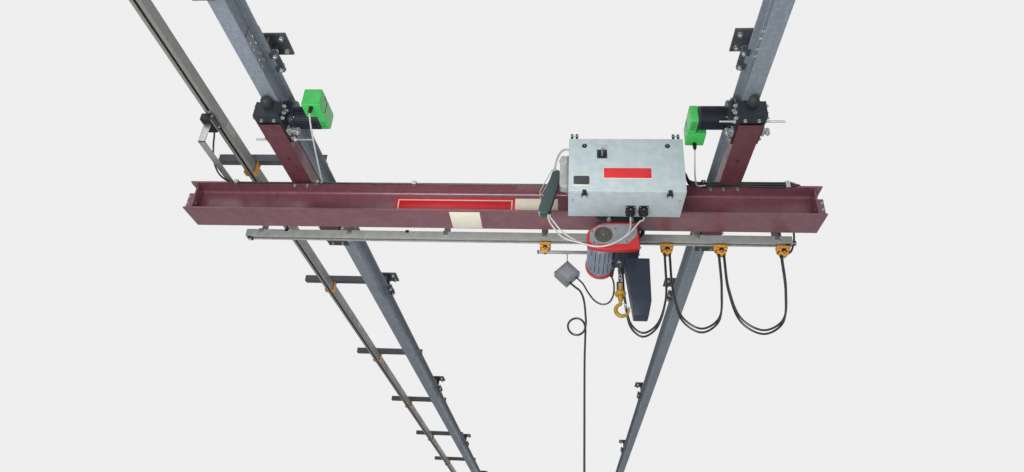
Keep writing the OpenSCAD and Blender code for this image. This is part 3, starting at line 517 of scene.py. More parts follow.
class Form:
    """Gathers the solids of one piece in the bridge's frame, each with its own finish."""

    def __init__(self, name: str) -> None:
        """Starts an empty piece.

        Args:
            name: The piece's name.
        """
        self.name = name
        self.mesh = bmesh.new()
        self.finishes: list[Finish] = []
        self.placing = Matrix.Identity(4)

    @contextmanager
    def placed(self, move: Point = (0, 0, 0), turn: float = 0.0, about: str = "Z",
               flip: Axis | None = None) -> Iterator[None]:
        """Places what is added inside the block.

        Args:
            move: How far it moves.
            turn: Degrees that it turns first.
            about: The axis that it turns about.
            flip: The axis that it is mirrored along before that.

        Yields:
            Nothing.
        """
        before = self.placing
        step = Matrix.Translation(Vector(move)) @ Matrix.Rotation(math.radians(turn), 4, about)
        if flip is not None:
            scale = Matrix.Identity(4)
            scale[flip.value][flip.value] = -1.0
            step = step @ scale
        self.placing = before @ step
        yield
        self.placing = before

    def _take(self, verts: Sequence[bmesh.types.BMVert], faces: Sequence[bmesh.types.BMFace],
              finish: Finish) -> None:
        """Moves new geometry to its place and gives it its finish.

        Args:
            verts: The new corners.
            faces: The new faces.
            finish: Their finish.
        """
        if finish not in self.finishes:
            self.finishes.append(finish)
        for vert in verts:
            vert.co = self.placing @ vert.co
        for face in faces:
            face.material_index = self.finishes.index(finish)
        if self.placing.determinant() < 0:
            bmesh.ops.reverse_faces(self.mesh, faces=list(faces))

    def _solid(self, corners: Sequence[Point], faces: Sequence[Sequence[int]], finish: Finish,
               bevel: float = 0.0, segments: int = 2) -> None:
        """Adds a closed solid from corners and faces.

        Args:
            corners: The corners.
            faces: Corner numbers of each face.
            finish: The finish.
            bevel: Width of the rounding along its edges.
            segments: Steps of that rounding.
        """
        part = faceted(corners, faces)
        if bevel > 0:
            sharp = [e for e in part.edges if len(e.link_faces) == 2 and e.calc_face_angle(0.0) > 0.6]
            bmesh.ops.bevel(part, geom=sharp, offset=bevel, segments=segments, profile=0.6, affect="EDGES",
                clamp_overlap=True)
        self._merge(part, finish)

    def _merge(self, part: bmesh.types.BMesh, finish: Finish) -> None:
        """Adds a finished part's geometry to the piece and frees the part.

        Args:
            part: The part.
            finish: Its finish.
        """
        part.verts.index_update()
        verts = [self.mesh.verts.new(v.co) for v in part.verts]
        faces = [self.mesh.faces.new([verts[v.index] for v in f.verts]) for f in part.faces]
        part.free()
        self._take(verts, faces, finish)

    def block(self, low: Point, high: Point, finish: Finish, bevel: float = 0.0, segments: int = 2) -> None:
        """Adds a box between two opposite corners."""
        self._solid(box_corners(low, high), BOX_FACES, finish, bevel, segments)

    def blocks(self, pairs: Sequence[tuple[Point, Point]], finish: Finish, bevel: float = 0.0,
               segments: int = 2) -> None:
        """Adds boxes of one finish, each between two opposite corners."""
        for low, high in pairs:
            self.block(low, high, finish, bevel, segments)

    def tray(self, low: Point, high: Point, axis: Axis, side: int, wall: float, finish: Finish,
             bevel: float) -> None:
        """Adds a folded sheet box that is open on one side.

        Args:
            low: Lowest corner.
            high: Highest corner.
            axis: The axis across its open side.
            side: One where it is open towards that axis's positive end, minus one otherwise.
            wall: Thickness of the sheet.
            finish: The finish.
            bevel: Radius of its folds.
        """
        faces = list(BOX_FACES)
        del faces[2 * axis.value + (1 if side > 0 else 0)]
        self._sheet(box_corners(low, high), faces, wall, finish, bevel)

    def loft(self, rings: Sequence[Sequence[Point]], wall: float, finish: Finish, bevel: float) -> None:
        """Adds a sheet vessel through rings of corners, open at the first and closed at the last.

        Args:
            rings: Rings of equally many corners.
            wall: Thickness of the sheet.
            finish: The finish.
            bevel: Radius of its edges.
        """
        count = len(rings[0])
        corners = [c for ring in rings for c in ring]
        faces = [(r * count + k, r * count + (k + 1) % count, (r + 1) * count + (k + 1) % count,
            (r + 1) * count + k) for r in range(len(rings) - 1) for k in range(count)]
        faces.append(tuple(range((len(rings) - 1) * count, len(rings) * count)))
        self._sheet(corners, faces, wall, finish, bevel)

    def _sheet(self, corners: Sequence[Point], faces: Sequence[Sequence[int]], wall: float, finish: Finish,
               bevel: float) -> None:
        """Rounds an open surface's folds and gives it its thickness inwards.

        Args:
            corners: The surface's corners.
            faces: Corner numbers of each face.
            wall: Thickness of the sheet.
            finish: The finish.
            bevel: Radius of the folds.
        """
        part = faceted(corners, faces)
        middle = sum((v.co for v in part.verts), Vector()) / len(part.verts)
        outwards = sum((f.calc_center_median() - middle).dot(f.normal) * f.calc_area() for f in part.faces)
        if outwards < 0:
            bmesh.ops.reverse_faces(part, faces=part.faces[:])
        folds = [e for e in part.edges if len(e.link_faces) == 2 and e.calc_face_angle(0.0) > 0.1]
        bmesh.ops.bevel(part, geom=folds, offset=bevel, segments=3, profile=0.5, affect="EDGES",
            clamp_overlap=True)
        part.normal_update()
        bmesh.ops.solidify(part, geom=part.faces[:], thickness=wall)
        bmesh.ops.recalc_face_normals(part, faces=part.faces[:])
        self._merge(part, finish)

    def prism(self, outline: Sequence[Point], axis: Axis, low: float, high: float, finish: Finish,
              bevel: float = 0.0, segments: int = 2) -> None:
        """Pushes an outline along an axis.

        Args:
            outline: Corners, in the two other axes in their order X, Y, Z.
            axis: The axis to push along.
            low: Where it starts.
            high: Where it ends, which may also lie below the start.
            finish: The finish.
            bevel: Width of the rounding along its edges.
            segments: Steps of that rounding.
        """
        count = len(outline)
        corners: list[Point] = []
        for level in sorted((low, high)):
            for u, v in outline:
                corner = [u, v]
                corner.insert(axis.value, level)
                corners.append(corner)
        faces = [list(range(count)), list(range(2 * count - 1, count - 1, -1))]
        faces += [(i, i + count, (i + 1) % count + count, (i + 1) % count) for i in range(count)]
        self._solid(corners, faces, finish, bevel, segments)

    def lathe(self, profile: Sequence[tuple[float, float]], axis: Axis, centre: Point, finish: Finish,
              sides: int = 32, phase: float = 0.0, capped: bool = True) -> None:
        """Turns a profile about an axis.

        Args:
            profile: Pairs of distance along the axis and radius.
            axis: The axis.
            centre: A point on the axis.
            finish: The finish.
            sides: Number of sides.
            phase: Turn of the first side, in degrees.
            capped: Whether both ends run on to the axis. Without it a ring at an end becomes one face.
        """
        if capped:
            profile = [(profile[0][0], 0), *profile, (profile[-1][0], 0)]
        part = bmesh.new()
        rings: list[list[bmesh.types.BMVert]] = []
        others = [i for i in range(3) if i != axis.value]
        for along, radius in profile:
            ring = []
            for k in range(sides if radius > 1e-6 else 1):
                angle = math.radians(phase) + 2 * math.pi * k / sides
                corner = [0.0, 0.0, 0.0]
                corner[axis.value] = centre[axis.value] + along
                corner[others[0]] = centre[others[0]] + radius * math.cos(angle)
                corner[others[1]] = centre[others[1]] + radius * math.sin(angle)
                ring.append(part.verts.new(corner))
            rings.append(ring)
        for a, b in zip(rings, rings[1:]):
            for k in range(sides):
                j = (k + 1) % sides
                if len(a) == 1 and len(b) > 1:
                    part.faces.new((a[0], b[k], b[j]))
                elif len(b) == 1 and len(a) > 1:
                    part.faces.new((a[k], a[j], b[0]))
                elif len(a) > 1:
                    part.faces.new((a[k], a[j], b[j], b[k]))
        for ring in (rings[0], rings[-1]):
            if len(ring) > 1:
                part.faces.new(ring)
        bmesh.ops.recalc_face_normals(part, faces=part.faces[:])
        self._merge(part, finish)

    def rod(self, axis: Axis, start: Point, length: float, radius: float, finish: Finish,
            sides: int = 24, chamfer: float = 0.6) -> None:
        """Adds a round bar with chamfered ends.

        Args:
            axis: The axis that it runs along.
            start: Middle of its first end.
            length: Its length, negative where it runs the other way.
            radius: Its radius.
            finish: The finish.
            sides: Number of sides.
            chamfer: Width of the chamfers.
        """
        c = min(chamfer, radius * 0.4, abs(length) * 0.3)
        s = 1 if length > 0 else -1
        self.lathe([(0, radius - c), (s * c, radius), (length - s * c, radius), (length, radius - c)], axis,
            start, finish, sides)

    def bolt(self, axis: Axis, seat: Point, across: float, finish: Finish | None = None, out: int = 1,
             shank: float = 0.0) -> None:
        """Adds a hexagon head or nut on a washer.

        Args:
            axis: The bolt's axis.
            seat: Middle of the face that it sits on.
            across: Width across its flats.
            finish: The finish, zinc where none is given.
            out: One where it stands towards the axis's positive end, minus one otherwise.
            shank: How far the thread stands past the nut.
        """
        finish = finish or ZINC
        r, t = across / 2, across * 0.09
        self.lathe([(0, r * 1.24), (out * t * 0.8, r * 1.24), (out * t, r * 1.18)], axis, seat, finish, 20)
        high = t + across * 0.62
        self.lathe([(out * t, r * 1.15), (out * (high - 0.06 * across), r * 1.15), (out * high, r * 0.98)],
            axis, seat, finish, 6, 15)
        if shank:
            self.lathe([(out * high, r * 0.55), (out * (high + shank - 0.5), r * 0.55),
                (out * (high + shank), r * 0.42)], axis, seat, finish, 14)

    def tube(self, points: Sequence[Point], radius: float | Sequence[float], finish: Finish,
             sides: int = 12, closed: bool = False) -> None:
        """Sweeps a round section along points.

        Args:
            points: The line to follow.
            radius: One radius, or one for each point.
            finish: The finish.
            sides: Number of sides.
            closed: Whether the line joins its own start.
        """
        line = [Vector(p) for p in points]
        count = len(line)
        radii = [radius] * count if isinstance(radius, (int, float)) else list(radius)
        part = bmesh.new()
        rings = []
        side = None
        for i, here in enumerate(line):
            before = line[i - 1] if i or closed else here
            after = line[(i + 1) % count] if i < count - 1 or closed else here
            ahead = (after - before).normalized()
            if side is None:
                side = ahead.orthogonal().normalized()
            side = (side - side.dot(ahead) * ahead).normalized()
            other = ahead.cross(side)
            rings.append([part.verts.new(here + radii[i] * (math.cos(a) * side + math.sin(a) * other))
                for a in (2 * math.pi * k / sides for k in range(sides))])
        pairs = list(zip(rings, rings[1:]))
        if closed:
            first, last = rings[0], rings[-1]
            shift = min(range(sides), key=lambda s: (last[0].co - first[s].co).length)
            pairs.append((last, first[shift:] + first[:shift]))
        for a, b in pairs:
            for k in range(sides):
                part.faces.new((a[k], a[(k + 1) % sides], b[(k + 1) % sides], b[k]))
        if not closed:
            part.faces.new(rings[0])
            part.faces.new(rings[-1])
        bmesh.ops.recalc_face_normals(part, faces=part.faces[:])
        self._merge(part, finish)

    def build(self, body: str, stands_for: Sequence[str] = (), slot: str | None = None,
              angle: float = 35.0, bend: tuple[Point, Point, str] | None = None) -> bpy.types.Object:
        """Makes the object, in the row frame.

        Args:
            body: The body that it rides on.
            stands_for: CAD nodes that it replaces.
            slot: Not used.
            angle: Edges sharper than this many degrees stay sharp.
            bend: Where given, the object follows no body: its placing is baked into its mesh, and the points
                and body given here are not used.

        Returns:
            The object.
        """
        for vert in self.mesh.verts:
            vert.co = at(*vert.co)
        mesh = bpy.data.meshes.new(self.name)
        self.mesh.to_mesh(mesh)
        self.mesh.free()
        for finish in self.finishes:
            mesh.materials.append(material(finish))
        mesh.polygons.foreach_set("use_smooth", [True] * len(mesh.polygons))
        mesh.set_sharp_from_angle(angle=math.radians(angle))
        made = bpy.data.objects.new(self.name, mesh)
        bpy.context.scene.collection.objects.link(made)
        if bend:
            at(*bend[0])
            at(*bend[1])
            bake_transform(made)
        else:
            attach(made, body)
        if stands_for:
            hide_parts(*stands_for)
        LOG.info("%s: %d faces on %s", self.name, len(mesh.polygons), body)
        return made


def dress(node: str, finish: Finish) -> None:
    """Gives a CAD node that stays a finish.

    Args:
        node: The node's name.
        finish: The finish.
    """
    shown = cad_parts[node]
    if not shown.material_slots:
        shown.data.materials.append(None)
    for slot in shown.material_slots:
        slot.link = "OBJECT"
        slot.material = material(finish)
    LOG.info("%s keeps its CAD shape in %s", node, finish.name)


def hull(points: Sequence[tuple[float, float]]) -> list[tuple[float, float]]:
    """Gives the convex outline round points.

    Args:
        points: The points.

    Returns:
        The outline's corners, anticlockwise.
    """
    ordered = sorted(set((round(x, 4), round(y, 4)) for x, y in points))

    def half(line: Sequence[tuple[float, float]]) -> list[tuple[float, float]]:
        """Gives one half of the outline.

        Args:
            line: All points in order along X.

        Returns:
            That half's corners, without its last.
        """
        out: list[tuple[float, float]] = []
        for p in line:
            while len(out) > 1 and ((out[-1][0] - out[-2][0]) * (p[1] - out[-2][1])
                                    - (out[-1][1] - out[-2][1]) * (p[0] - out[-2][0])) <= 0:
                out.pop()
            out.append(p)
        return out[:-1]

    return half(ordered) + half(ordered[::-1])


def circle(u: float, v: float, radius: float, sides: int = 40) -> list[tuple[float, float]]:
    """Gives points of a circle in a plane."""
    return [(u + radius * math.cos(2 * math.pi * k / sides),
        v + radius * math.sin(2 * math.pi * k / sides)) for k in range(sides)]


@dataclass
class Runway:
    """Both runway beams with their hangers, splices and end stops."""

    half_span: float = 1250.0
    underside: float = 310.0
    top: float = 470.0
    near_end: float = -1550.0
    far_end: float = 10800.0
    hanger_ys: tuple[float, ...] = (-820.0, 1980.0, 4780.0, 7580.0, 10380.0)
    splice_ys: tuple[float, ...] = (-970.0, 5000.0)

    def build(self) -> None:
        """Dresses the beams and adds the fastenings that they hang by."""
        for side in ("left", "right"):
            dress("track_" + side, BEAM_GREY)
            dress("track_hangers_" + side, HANGER_GREY)
        dress("track_stops", HANGER_GREY)
        self.hanger_fastenings()
        self.splices()
        self.stop_fastenings()

    def hanger_fastenings(self) -> None:
        """Adds bolts, nuts and weld beads to every hanger."""
        form = Form("hanger_fastenings")
        for side in (-1, 1):
            for y in self.hanger_ys:
                with form.placed((side * self.half_span, y, 0)):
                    for sx in (-1, 1):
                        for sy in (-1, 1):
                            form.bolt(Axis.Z, (sx * 60, sy * 45, 588), 24, out=-1, shank=6)
                            form.bolt(Axis.Z, (sx * 57, sy * 49, 452.6), 19, out=-1, shank=5)
                            form.bolt(Axis.Z, (sx * 57, sy * 49, 482), 19, shank=7)
                        for z in (484, 586):
                            bead = [(sx * 7.5, -63 + k * 9, z + 1.2 * math.sin(k * 2.3)) for k in range(15)]
                            form.tube(bead, [2.6 + 0.7 * math.sin(k * 3.1) for k in range(15)], HANGER_GREY, 6)
        form.build("runway", slot="zinc")

    def splices(self) -> None:
        """Adds bolted splice plates where two lengths of beam meet."""
        form = Form("beam_splices")
        for side, y in product((-1, 1), self.splice_ys):
            with form.placed((side * self.half_span, y, 0)):
                for sx in (-1, 1):
                    form.block((sx * 2.6, -110, 344), (sx * 8.6, 110, 436), BEAM_GREY, 1.2)
                    for v, z in product((-80, -35, 35, 80), (366, 414)):
                        form.bolt(Axis.X, (sx * 8.6, v, z), 15, out=sx)
                form.block((-40, -90, 470.2), (40, 90, 478), BEAM_GREY, 1.2)
                for v, sx in product((-60, 60), (-1, 1)):
                    form.bolt(Axis.Z, (sx * 25, v, 478), 15)
        form.build("runway", slot="runway_steel")

    def stop_fastenings(self) -> None:
        """Adds rubber pads and clamp bolts to the end stops."""
        form = Form("stop_fastenings")
        for side in (-1, 1):
            for y, way in ((self.far_end - 110, 1), (self.near_end + 110, -1)):
                with form.placed((side * self.half_span, y, self.underside)):
                    form.block((-26, -way * 5.0, -70), (26, 0.0, -18), BUFFER_RUBBER, 1.5)
                    for sx, v in product((-1, 1), (24, 56)):
                        form.bolt(Axis.Z, (sx * 46, way * v, 17.4), 15)
                        form.bolt(Axis.Z, (sx * 46, way * v, -8), 15, out=-1, shank=4)
        form.build("runway", slot="zinc")


@dataclass
class ConductorLine:
    """The enclosed conductor rail and the arms that carry it."""

    x: float = -1695.0
    width: float = 60.0
    low: float = 388.0
    high: float = 462.0
    arm_ys: tuple[float, ...] = (100.0, 1850.0, 3600.0, 5350.0, 7100.0, 8850.0)
    joint_ys: tuple[float, ...] = (-300.0, 2700.0, 5700.0, 8700.0)
    ends: tuple[float, float] = (-1530.0, 10780.0)

    def build(self) -> None:
        """Dresses the rail and arms and adds clips, joints and end caps."""
        dress("conductor_rail", RAIL_PLASTIC)
        dress("conductor_arms", HANGER_GREY)
        form = Form("conductor_fittings")
        half = self.width / 2
        for y in self.arm_ys:
            with form.placed((self.x, y, 0)):
                for s in (-1, 1):
                    form.blocks((((s * (half + 4.2), -24, self.low - 4), (s * (half + 9), 24, self.high + 6)),
                        ((s * (half - 9), -24, self.low - 7), (s * (half + 9), 24, self.low - 1.2))),
                        CARRIER_YELLOW, 1.6)
                form.bolt(Axis.Z, (0, 0, 475), 17, shank=8)
            for x in (-1270, -1230):
                form.bolt(Axis.Z, (x, y + 8, 475), 17, shank=5)
            gusset = [(-1330, 470), (-1292, 470), (-1292, 392), (-1304, 392)]
            form.prism(gusset, Axis.Y, y - 24.8, y - 20, HANGER_GREY, 0.8)
        for y in self.joint_ys:
            for s in (-1, 1):
                form.block((self.x + s * (half + 0.2), y - 60, self.low + 8),
                    (self.x + s * (half + 3), y + 60, self.high - 14), GREY_PLASTIC, 1.0)
            form.block((self.x - half + 8, y - 60, self.high + 0.2), (self.x + half - 8, y + 60, self.high + 3),
                GREY_PLASTIC, 1.0)
        for y, way in zip(self.ends, (-1, 1)):
            form.block((self.x - half - 2, y, self.low + 1), (self.x + half + 2, y + way * 12, self.high),
                GREY_PLASTIC, 4.0, 3)
        form.build("runway", slot="conductor_plastic")


@dataclass
class Girder:
    """The red girder with its bolts, end stops and bare sign plates."""

    left: float = -1938.0
    right: float = 1762.0
    height: float = 190.0
    flange: float = 10.0
    carriage_bolt_xs: tuple[float, ...] = (-1297.0, -1220.0, 1147.0, 1221.0, 1300.0)

    def build(self) -> None:
        """Dresses the girder and adds what is fastened to it."""
        dress("girder", OXIDE_RED)
        form = Form("girder_fastenings")
        under = self.height - self.flange
        for x in self.carriage_bolt_xs:
            for y in (-80, 80):
                form.bolt(Axis.Z, (x, y, under), 16, GALVANISED, out=-1, shank=4)
        for x, way in ((self.left + 20, 1), (self.right - 20, -1)):
            for y, z in product((-52, 52), (30, 64)):
                form.bolt(Axis.X, (x + (12 if way > 0 else -12), y, z), 16, out=way)
            for s in (-1, 1):
                bead = [(x + way * 13, s * (6 + k * 7.0), 11.5 + 0.8 * math.sin(k * 2.1)) for k in range(10)]
                form.tube(bead, 2.6, OXIDE_RED, 6)
        form.build("bridge", slot="zinc")
        self.end_plates()
        self.signs()

    def end_plates(self) -> None:
        """Adds the plates that close both ends between the flanges, each with a bolted leg."""
        form = Form("girder_end_plates")
        for x, way in ((self.left + 32.3, 1), (self.right - 32.3, -1)):
            for s in (-1, 1):
                form.blocks((((x, s * 3.4, self.flange + 0.2),
                    (x + way * 10, s * 83, self.height - self.flange - 0.2)),
                    ((x, s * 74.4, self.flange + 0.2), (x - way * 30, s * 82, 114))), OXIDE_RED, 1.0)
                for z in (42, 84):
                    form.bolt(Axis.Y, (x - way * 17, s * 82, z), 13, GALVANISED, out=s)
        form.build("bridge", slot="oxide_red")

    def signs(self) -> None:
        """Adds the bare sign plates on the web and the bottom flange."""
        form = Form("girder_signs")
        face = -3.3
        form.block((-691, face - 1.2, 50), (26, face, 148), SIGN_RED, 0.5)
        form.block((26.4, face - 1.2, 50), (279, face, 148), SIGN_CREAM, 0.5)
        form.block((-676, face - 1.6, 62), (12, face - 1.2, 136), SIGN_CREAM, 0.2)
        form.block((-668, face - 1.9, 70), (4, face - 1.6, 128), SIGN_RED, 0.1)
        form.block((-345, -86, -0.9), (-168, 94, -0.2), SIGN_CREAM, 0.3)
        form.build("bridge", slot="oxide_red")


@dataclass
class EndCarriages:
    """Both end carriages: side plates, wheels, buffers, threaded rods and clamp castings."""

    half_span: float = 1250.0
    axle_y: float = 560.0
    axle_z: float = 362.7
    inner: float = 60.0
    plate: float = 10.0
    end: float = 700.0
    buffer_z: float = 268.0

    def build(self) -> None:
        """Builds all carriage pieces."""
        for side in ("left", "right"):
            dress("carriage_" + side, CARRIAGE_RED)
        for node in ("near_wheels", "far_wheels"):
            dress(node, WHEEL_STEEL)
        self.side_plates()
        self.buffers()
        self.rods()
        self.castings()

    def side_plates(self) -> None:
        """Builds the side plates with their bolts and end plates."""
        form = Form("carriage_side_plates")
        arch = [(self.axle_y + 56 * math.cos(a), self.axle_z + 56 * math.sin(a))
            for a in (math.pi * k / 16 for k in range(17))]
        outline = [(470, 200), (700, 200), (700, 294), (616, 294), *arch, (504, 294), (470, 294)]
        outer = self.inner + self.plate
        for sx, flip in product((-1, 1), (None, Axis.Y)):
            with form.placed((sx * self.half_span, 0, 0), flip=flip):
                form.blocks((((-self.inner, 691, 200), (self.inner, 699.5, 294)),
                    ((-self.inner, 636, 200), (self.inner, 690.9, 207))), PLATE_DARK, 1.0)
                for x in (-34, 34):
                    form.bolt(Axis.Z, (x, 664, 200), 15, out=-1)
                for s in (-1, 1):
                    form.prism(outline, Axis.X, s * (self.inner + 0.02), s * outer, PLATE_DARK, 1.0)
                    for y, z in ((490, 218), (490, 252), (660, 218), (660, 252), (640, 284), (676, 284),
                            (486, 284)):
                        form.bolt(Axis.X, (s * outer, y, z), 17, out=s, shank=5)
                    near_drive = flip is Axis.Y and s == -sx
                    if not near_drive:
                        form.lathe([(0, 34), (s * 6, 34), (s * 9, 30), (s * 9, 17), (s * 6, 15)], Axis.X,
                            (s * outer, self.axle_y, self.axle_z), PLATE_DARK, 36)
                        form.bolt(Axis.X, (s * (outer + 6), self.axle_y, self.axle_z), 22, out=s)
                        for a in (45, 135, 225, 315):
                            form.bolt(Axis.X, (s * outer, self.axle_y + 43 * cosine(a),
                                self.axle_z + 43 * sine(a)), 9, out=s)
        form.build("bridge", ["carriage_cheeks"], "dark_steel")

    def buffers(self) -> None:
        """Builds the rubber buffers on their flanges."""
        form = Form("rubber_buffers")
        for sx, flip in product((-1, 1), (None, Axis.Y)):
            with form.placed((sx * self.half_span, self.end if flip is None else -self.end, self.buffer_z),
                    flip=flip):
                form.lathe([(0, 17), (5.8, 17)], Axis.Y, (0, 0, 0), ZINC, 28)
                form.lathe([(5.9, 25), (9, 27), (22, 28), (36, 27.4), (47, 24.6), (56, 19.4), (61.5, 12.5),
                    (64, 5)], Axis.Y, (0, 0, 0), BUFFER_RUBBER, 36)
        form.build("bridge", ["carriage_buffers"], "rubber")

    def rods(self) -> None:
        """Builds the threaded rods that cross the carriages."""
        form = Form("threaded_rods")
        outer = self.inner + self.plate
        for x, y in ((-self.half_span, -459.0), (self.half_span, -618.0)):
            with form.placed((x, y, 230)):
                for s, reach in ((-1, 150.0), (1, 176.0)):
                    profile = [(0, 0), (0, 5)]
                    count = int((reach - outer) / 3.5)
                    for k in range(count):
                        profile += [(s * (k * 3.5 + 0.9), 6.0), (s * (k * 3.5 + 2.6), 5.2)]
                    profile += [(s * (reach - outer), 4.6), (s * (reach - outer), 0)]
                    form.lathe(profile, Axis.X, (s * outer, 0, 0), ZINC, 14, capped=False)
                    form.bolt(Axis.X, (s * outer, 0, 0), 19, out=s)
        form.build("bridge", ["gauge_rods"], "zinc")

    def castings(self) -> None:
        """Builds the cast clamps beside the near wheels."""
        form = Form("cast_clamps")
        for x, flip, post in ((-self.half_span, None, 128.0), (self.half_span, None, 100.0),
                (self.half_span, Axis.X, 104.0)):
            with form.placed((x, -self.axle_y, 214), flip=flip):
                form.blocks((((70.1, -22, -18), (84, 22, 20)), ((83, -12, -12), (post + 2, 12, 12))),
                    GALVANISED, 4.0, 3)
                form.lathe([(-20, 9), (-17, 12), (13, 12), (16, 9)], Axis.Z, (post, 0, 0), GALVANISED, 28)
                form.bolt(Axis.Z, (post, 0, -20), 10, out=-1, shank=3)
                for v in (-14, 14):
                    form.bolt(Axis.X, (84, v, -3), 8)
        form.build("bridge", ["clamp_castings"], "zinc")


@dataclass
class TravelDrives:
    """Both travel drives with their moulded hoods."""

    half_span: float = 1250.0
    wheel_y: float = -560.0
    axle_z: float = 362.7
    motor_z: float = 300.7
    start: float = 70.0
    flange: float = 96.0
    motor_end: float = 246.0
    hood_end: float = 288.0
    radius: float = 62.0

    def build(self) -> None:
        """Builds the drive and hood of each side."""
        for side, name in ((-1, "left"), (1, "right")):
            turn = 180.0 if side > 0 else 0.0
            form = Form("travel_drive_" + name)
            with form.placed((side * self.half_span, self.wheel_y, 0), turn):
                self.drive(form)
            form.build("bridge", ["drive_" + name], "motor_black")
            form = Form("drive_hood_cover_" + name)
            with form.placed((side * self.half_span, self.wheel_y, 0), turn):
                self.hood(form)
            form.build("bridge", ["drive_hood_" + name], "hood_green")

    def drive(self, form: Form) -> None:
        """Adds one drive.

        Args:
            form: The piece that it goes into.
        """
        outline = hull(circle(0, self.axle_z, 44) + circle(0, self.motor_z, self.radius))
        form.prism(outline, Axis.X, self.start + 0.05, self.flange - 3, MOTOR_BLACK, 3.0, 3)
        for a in range(0, 360, 45):
            y = 54 * cosine(a)
            z = self.motor_z - 4 + 52 * sine(a)
            form.bolt(Axis.X, (self.flange - 3, y, z), 9, ZINC)
        form.lathe([(0, 0), (0, 58), (3, 61.5), (9, 61.5), (12, 54), (14, 0)], Axis.X,
            (self.flange - 3.5, 0, self.motor_z), MOTOR_BLACK, 48, capped=False)
        fins = 36
        star: list[tuple[float, float]] = []
        for k in range(fins):
            a = 2 * math.pi * k / fins
            for share, r in ((-0.2, 53.5), (-0.13, 61.6), (0.13, 61.6), (0.2, 53.5)):
                b = a + share * 2 * math.pi / fins
                star.append((r * math.cos(b), self.motor_z + r * math.sin(b)))
        form.prism(star, Axis.X, self.flange + 6, self.motor_end - 14, MOTOR_BLACK)
        form.lathe([(0, 60), (2, 61.8), (9, 61.8), (13.8, 57)], Axis.X, (self.motor_end - 14, 0, self.motor_z),
            MOTOR_BLACK, 48)
        for a in (35, 145, 215, 325):
            form.bolt(Axis.X, (self.flange + 8, 57 * cosine(a), self.motor_z + 57 * sine(a)), 8, ZINC)

    def hood(self, form: Form) -> None:
        """Adds one hood: an end cover in one with the terminal box.

        Args:
            form: The piece that it goes into.
        """
        z = self.motor_z
        cover = hull([c for v in (-66, 24) for w in (-32, 36) for c in circle(v, z + w, 20, 24)])
        form.prism(cover, Axis.X, self.motor_end + 0.1, self.hood_end, HOOD_GREEN, 5.0, 4)
        form.block((self.hood_end - 98, -170, z - 52), (self.hood_end, -66, z + 56), HOOD_GREEN, 7.0, 4)
        form.block((self.hood_end - 0.6, -124, z + 34), (self.hood_end + 0.5, -67, z + 48), LABEL_DARK, 0.4)
        for v, w in product((-160, -78), (-42, 46)):
            form.lathe([(0, 4.6), (1.0, 4.6), (1.8, 3.6)], Axis.X, (self.hood_end - 0.4, v, z + w), ZINC, 16)
        # Painted shade: thin black strips on the hood's underside stand for the shaded insides of its vent
        # slots.
        for k in range(5):
            form.block((self.motor_end + 8, -30 + k * 13, z - 52.4),
                (self.hood_end - 8, -26 + k * 13, z - 51.6), BLACK_PLASTIC, 0.2)
        gland = (self.motor_end - 6, -150, z - 52)
        form.lathe([(0, 12), (-6, 12)], Axis.Z, gland, BLACK_PLASTIC, 6)
        form.lathe([(-6, 9), (-9, 10.5), (-28, 10.2), (-36, 7.2), (-42, 5.8)], Axis.Z, gland, BLACK_PLASTIC, 24)


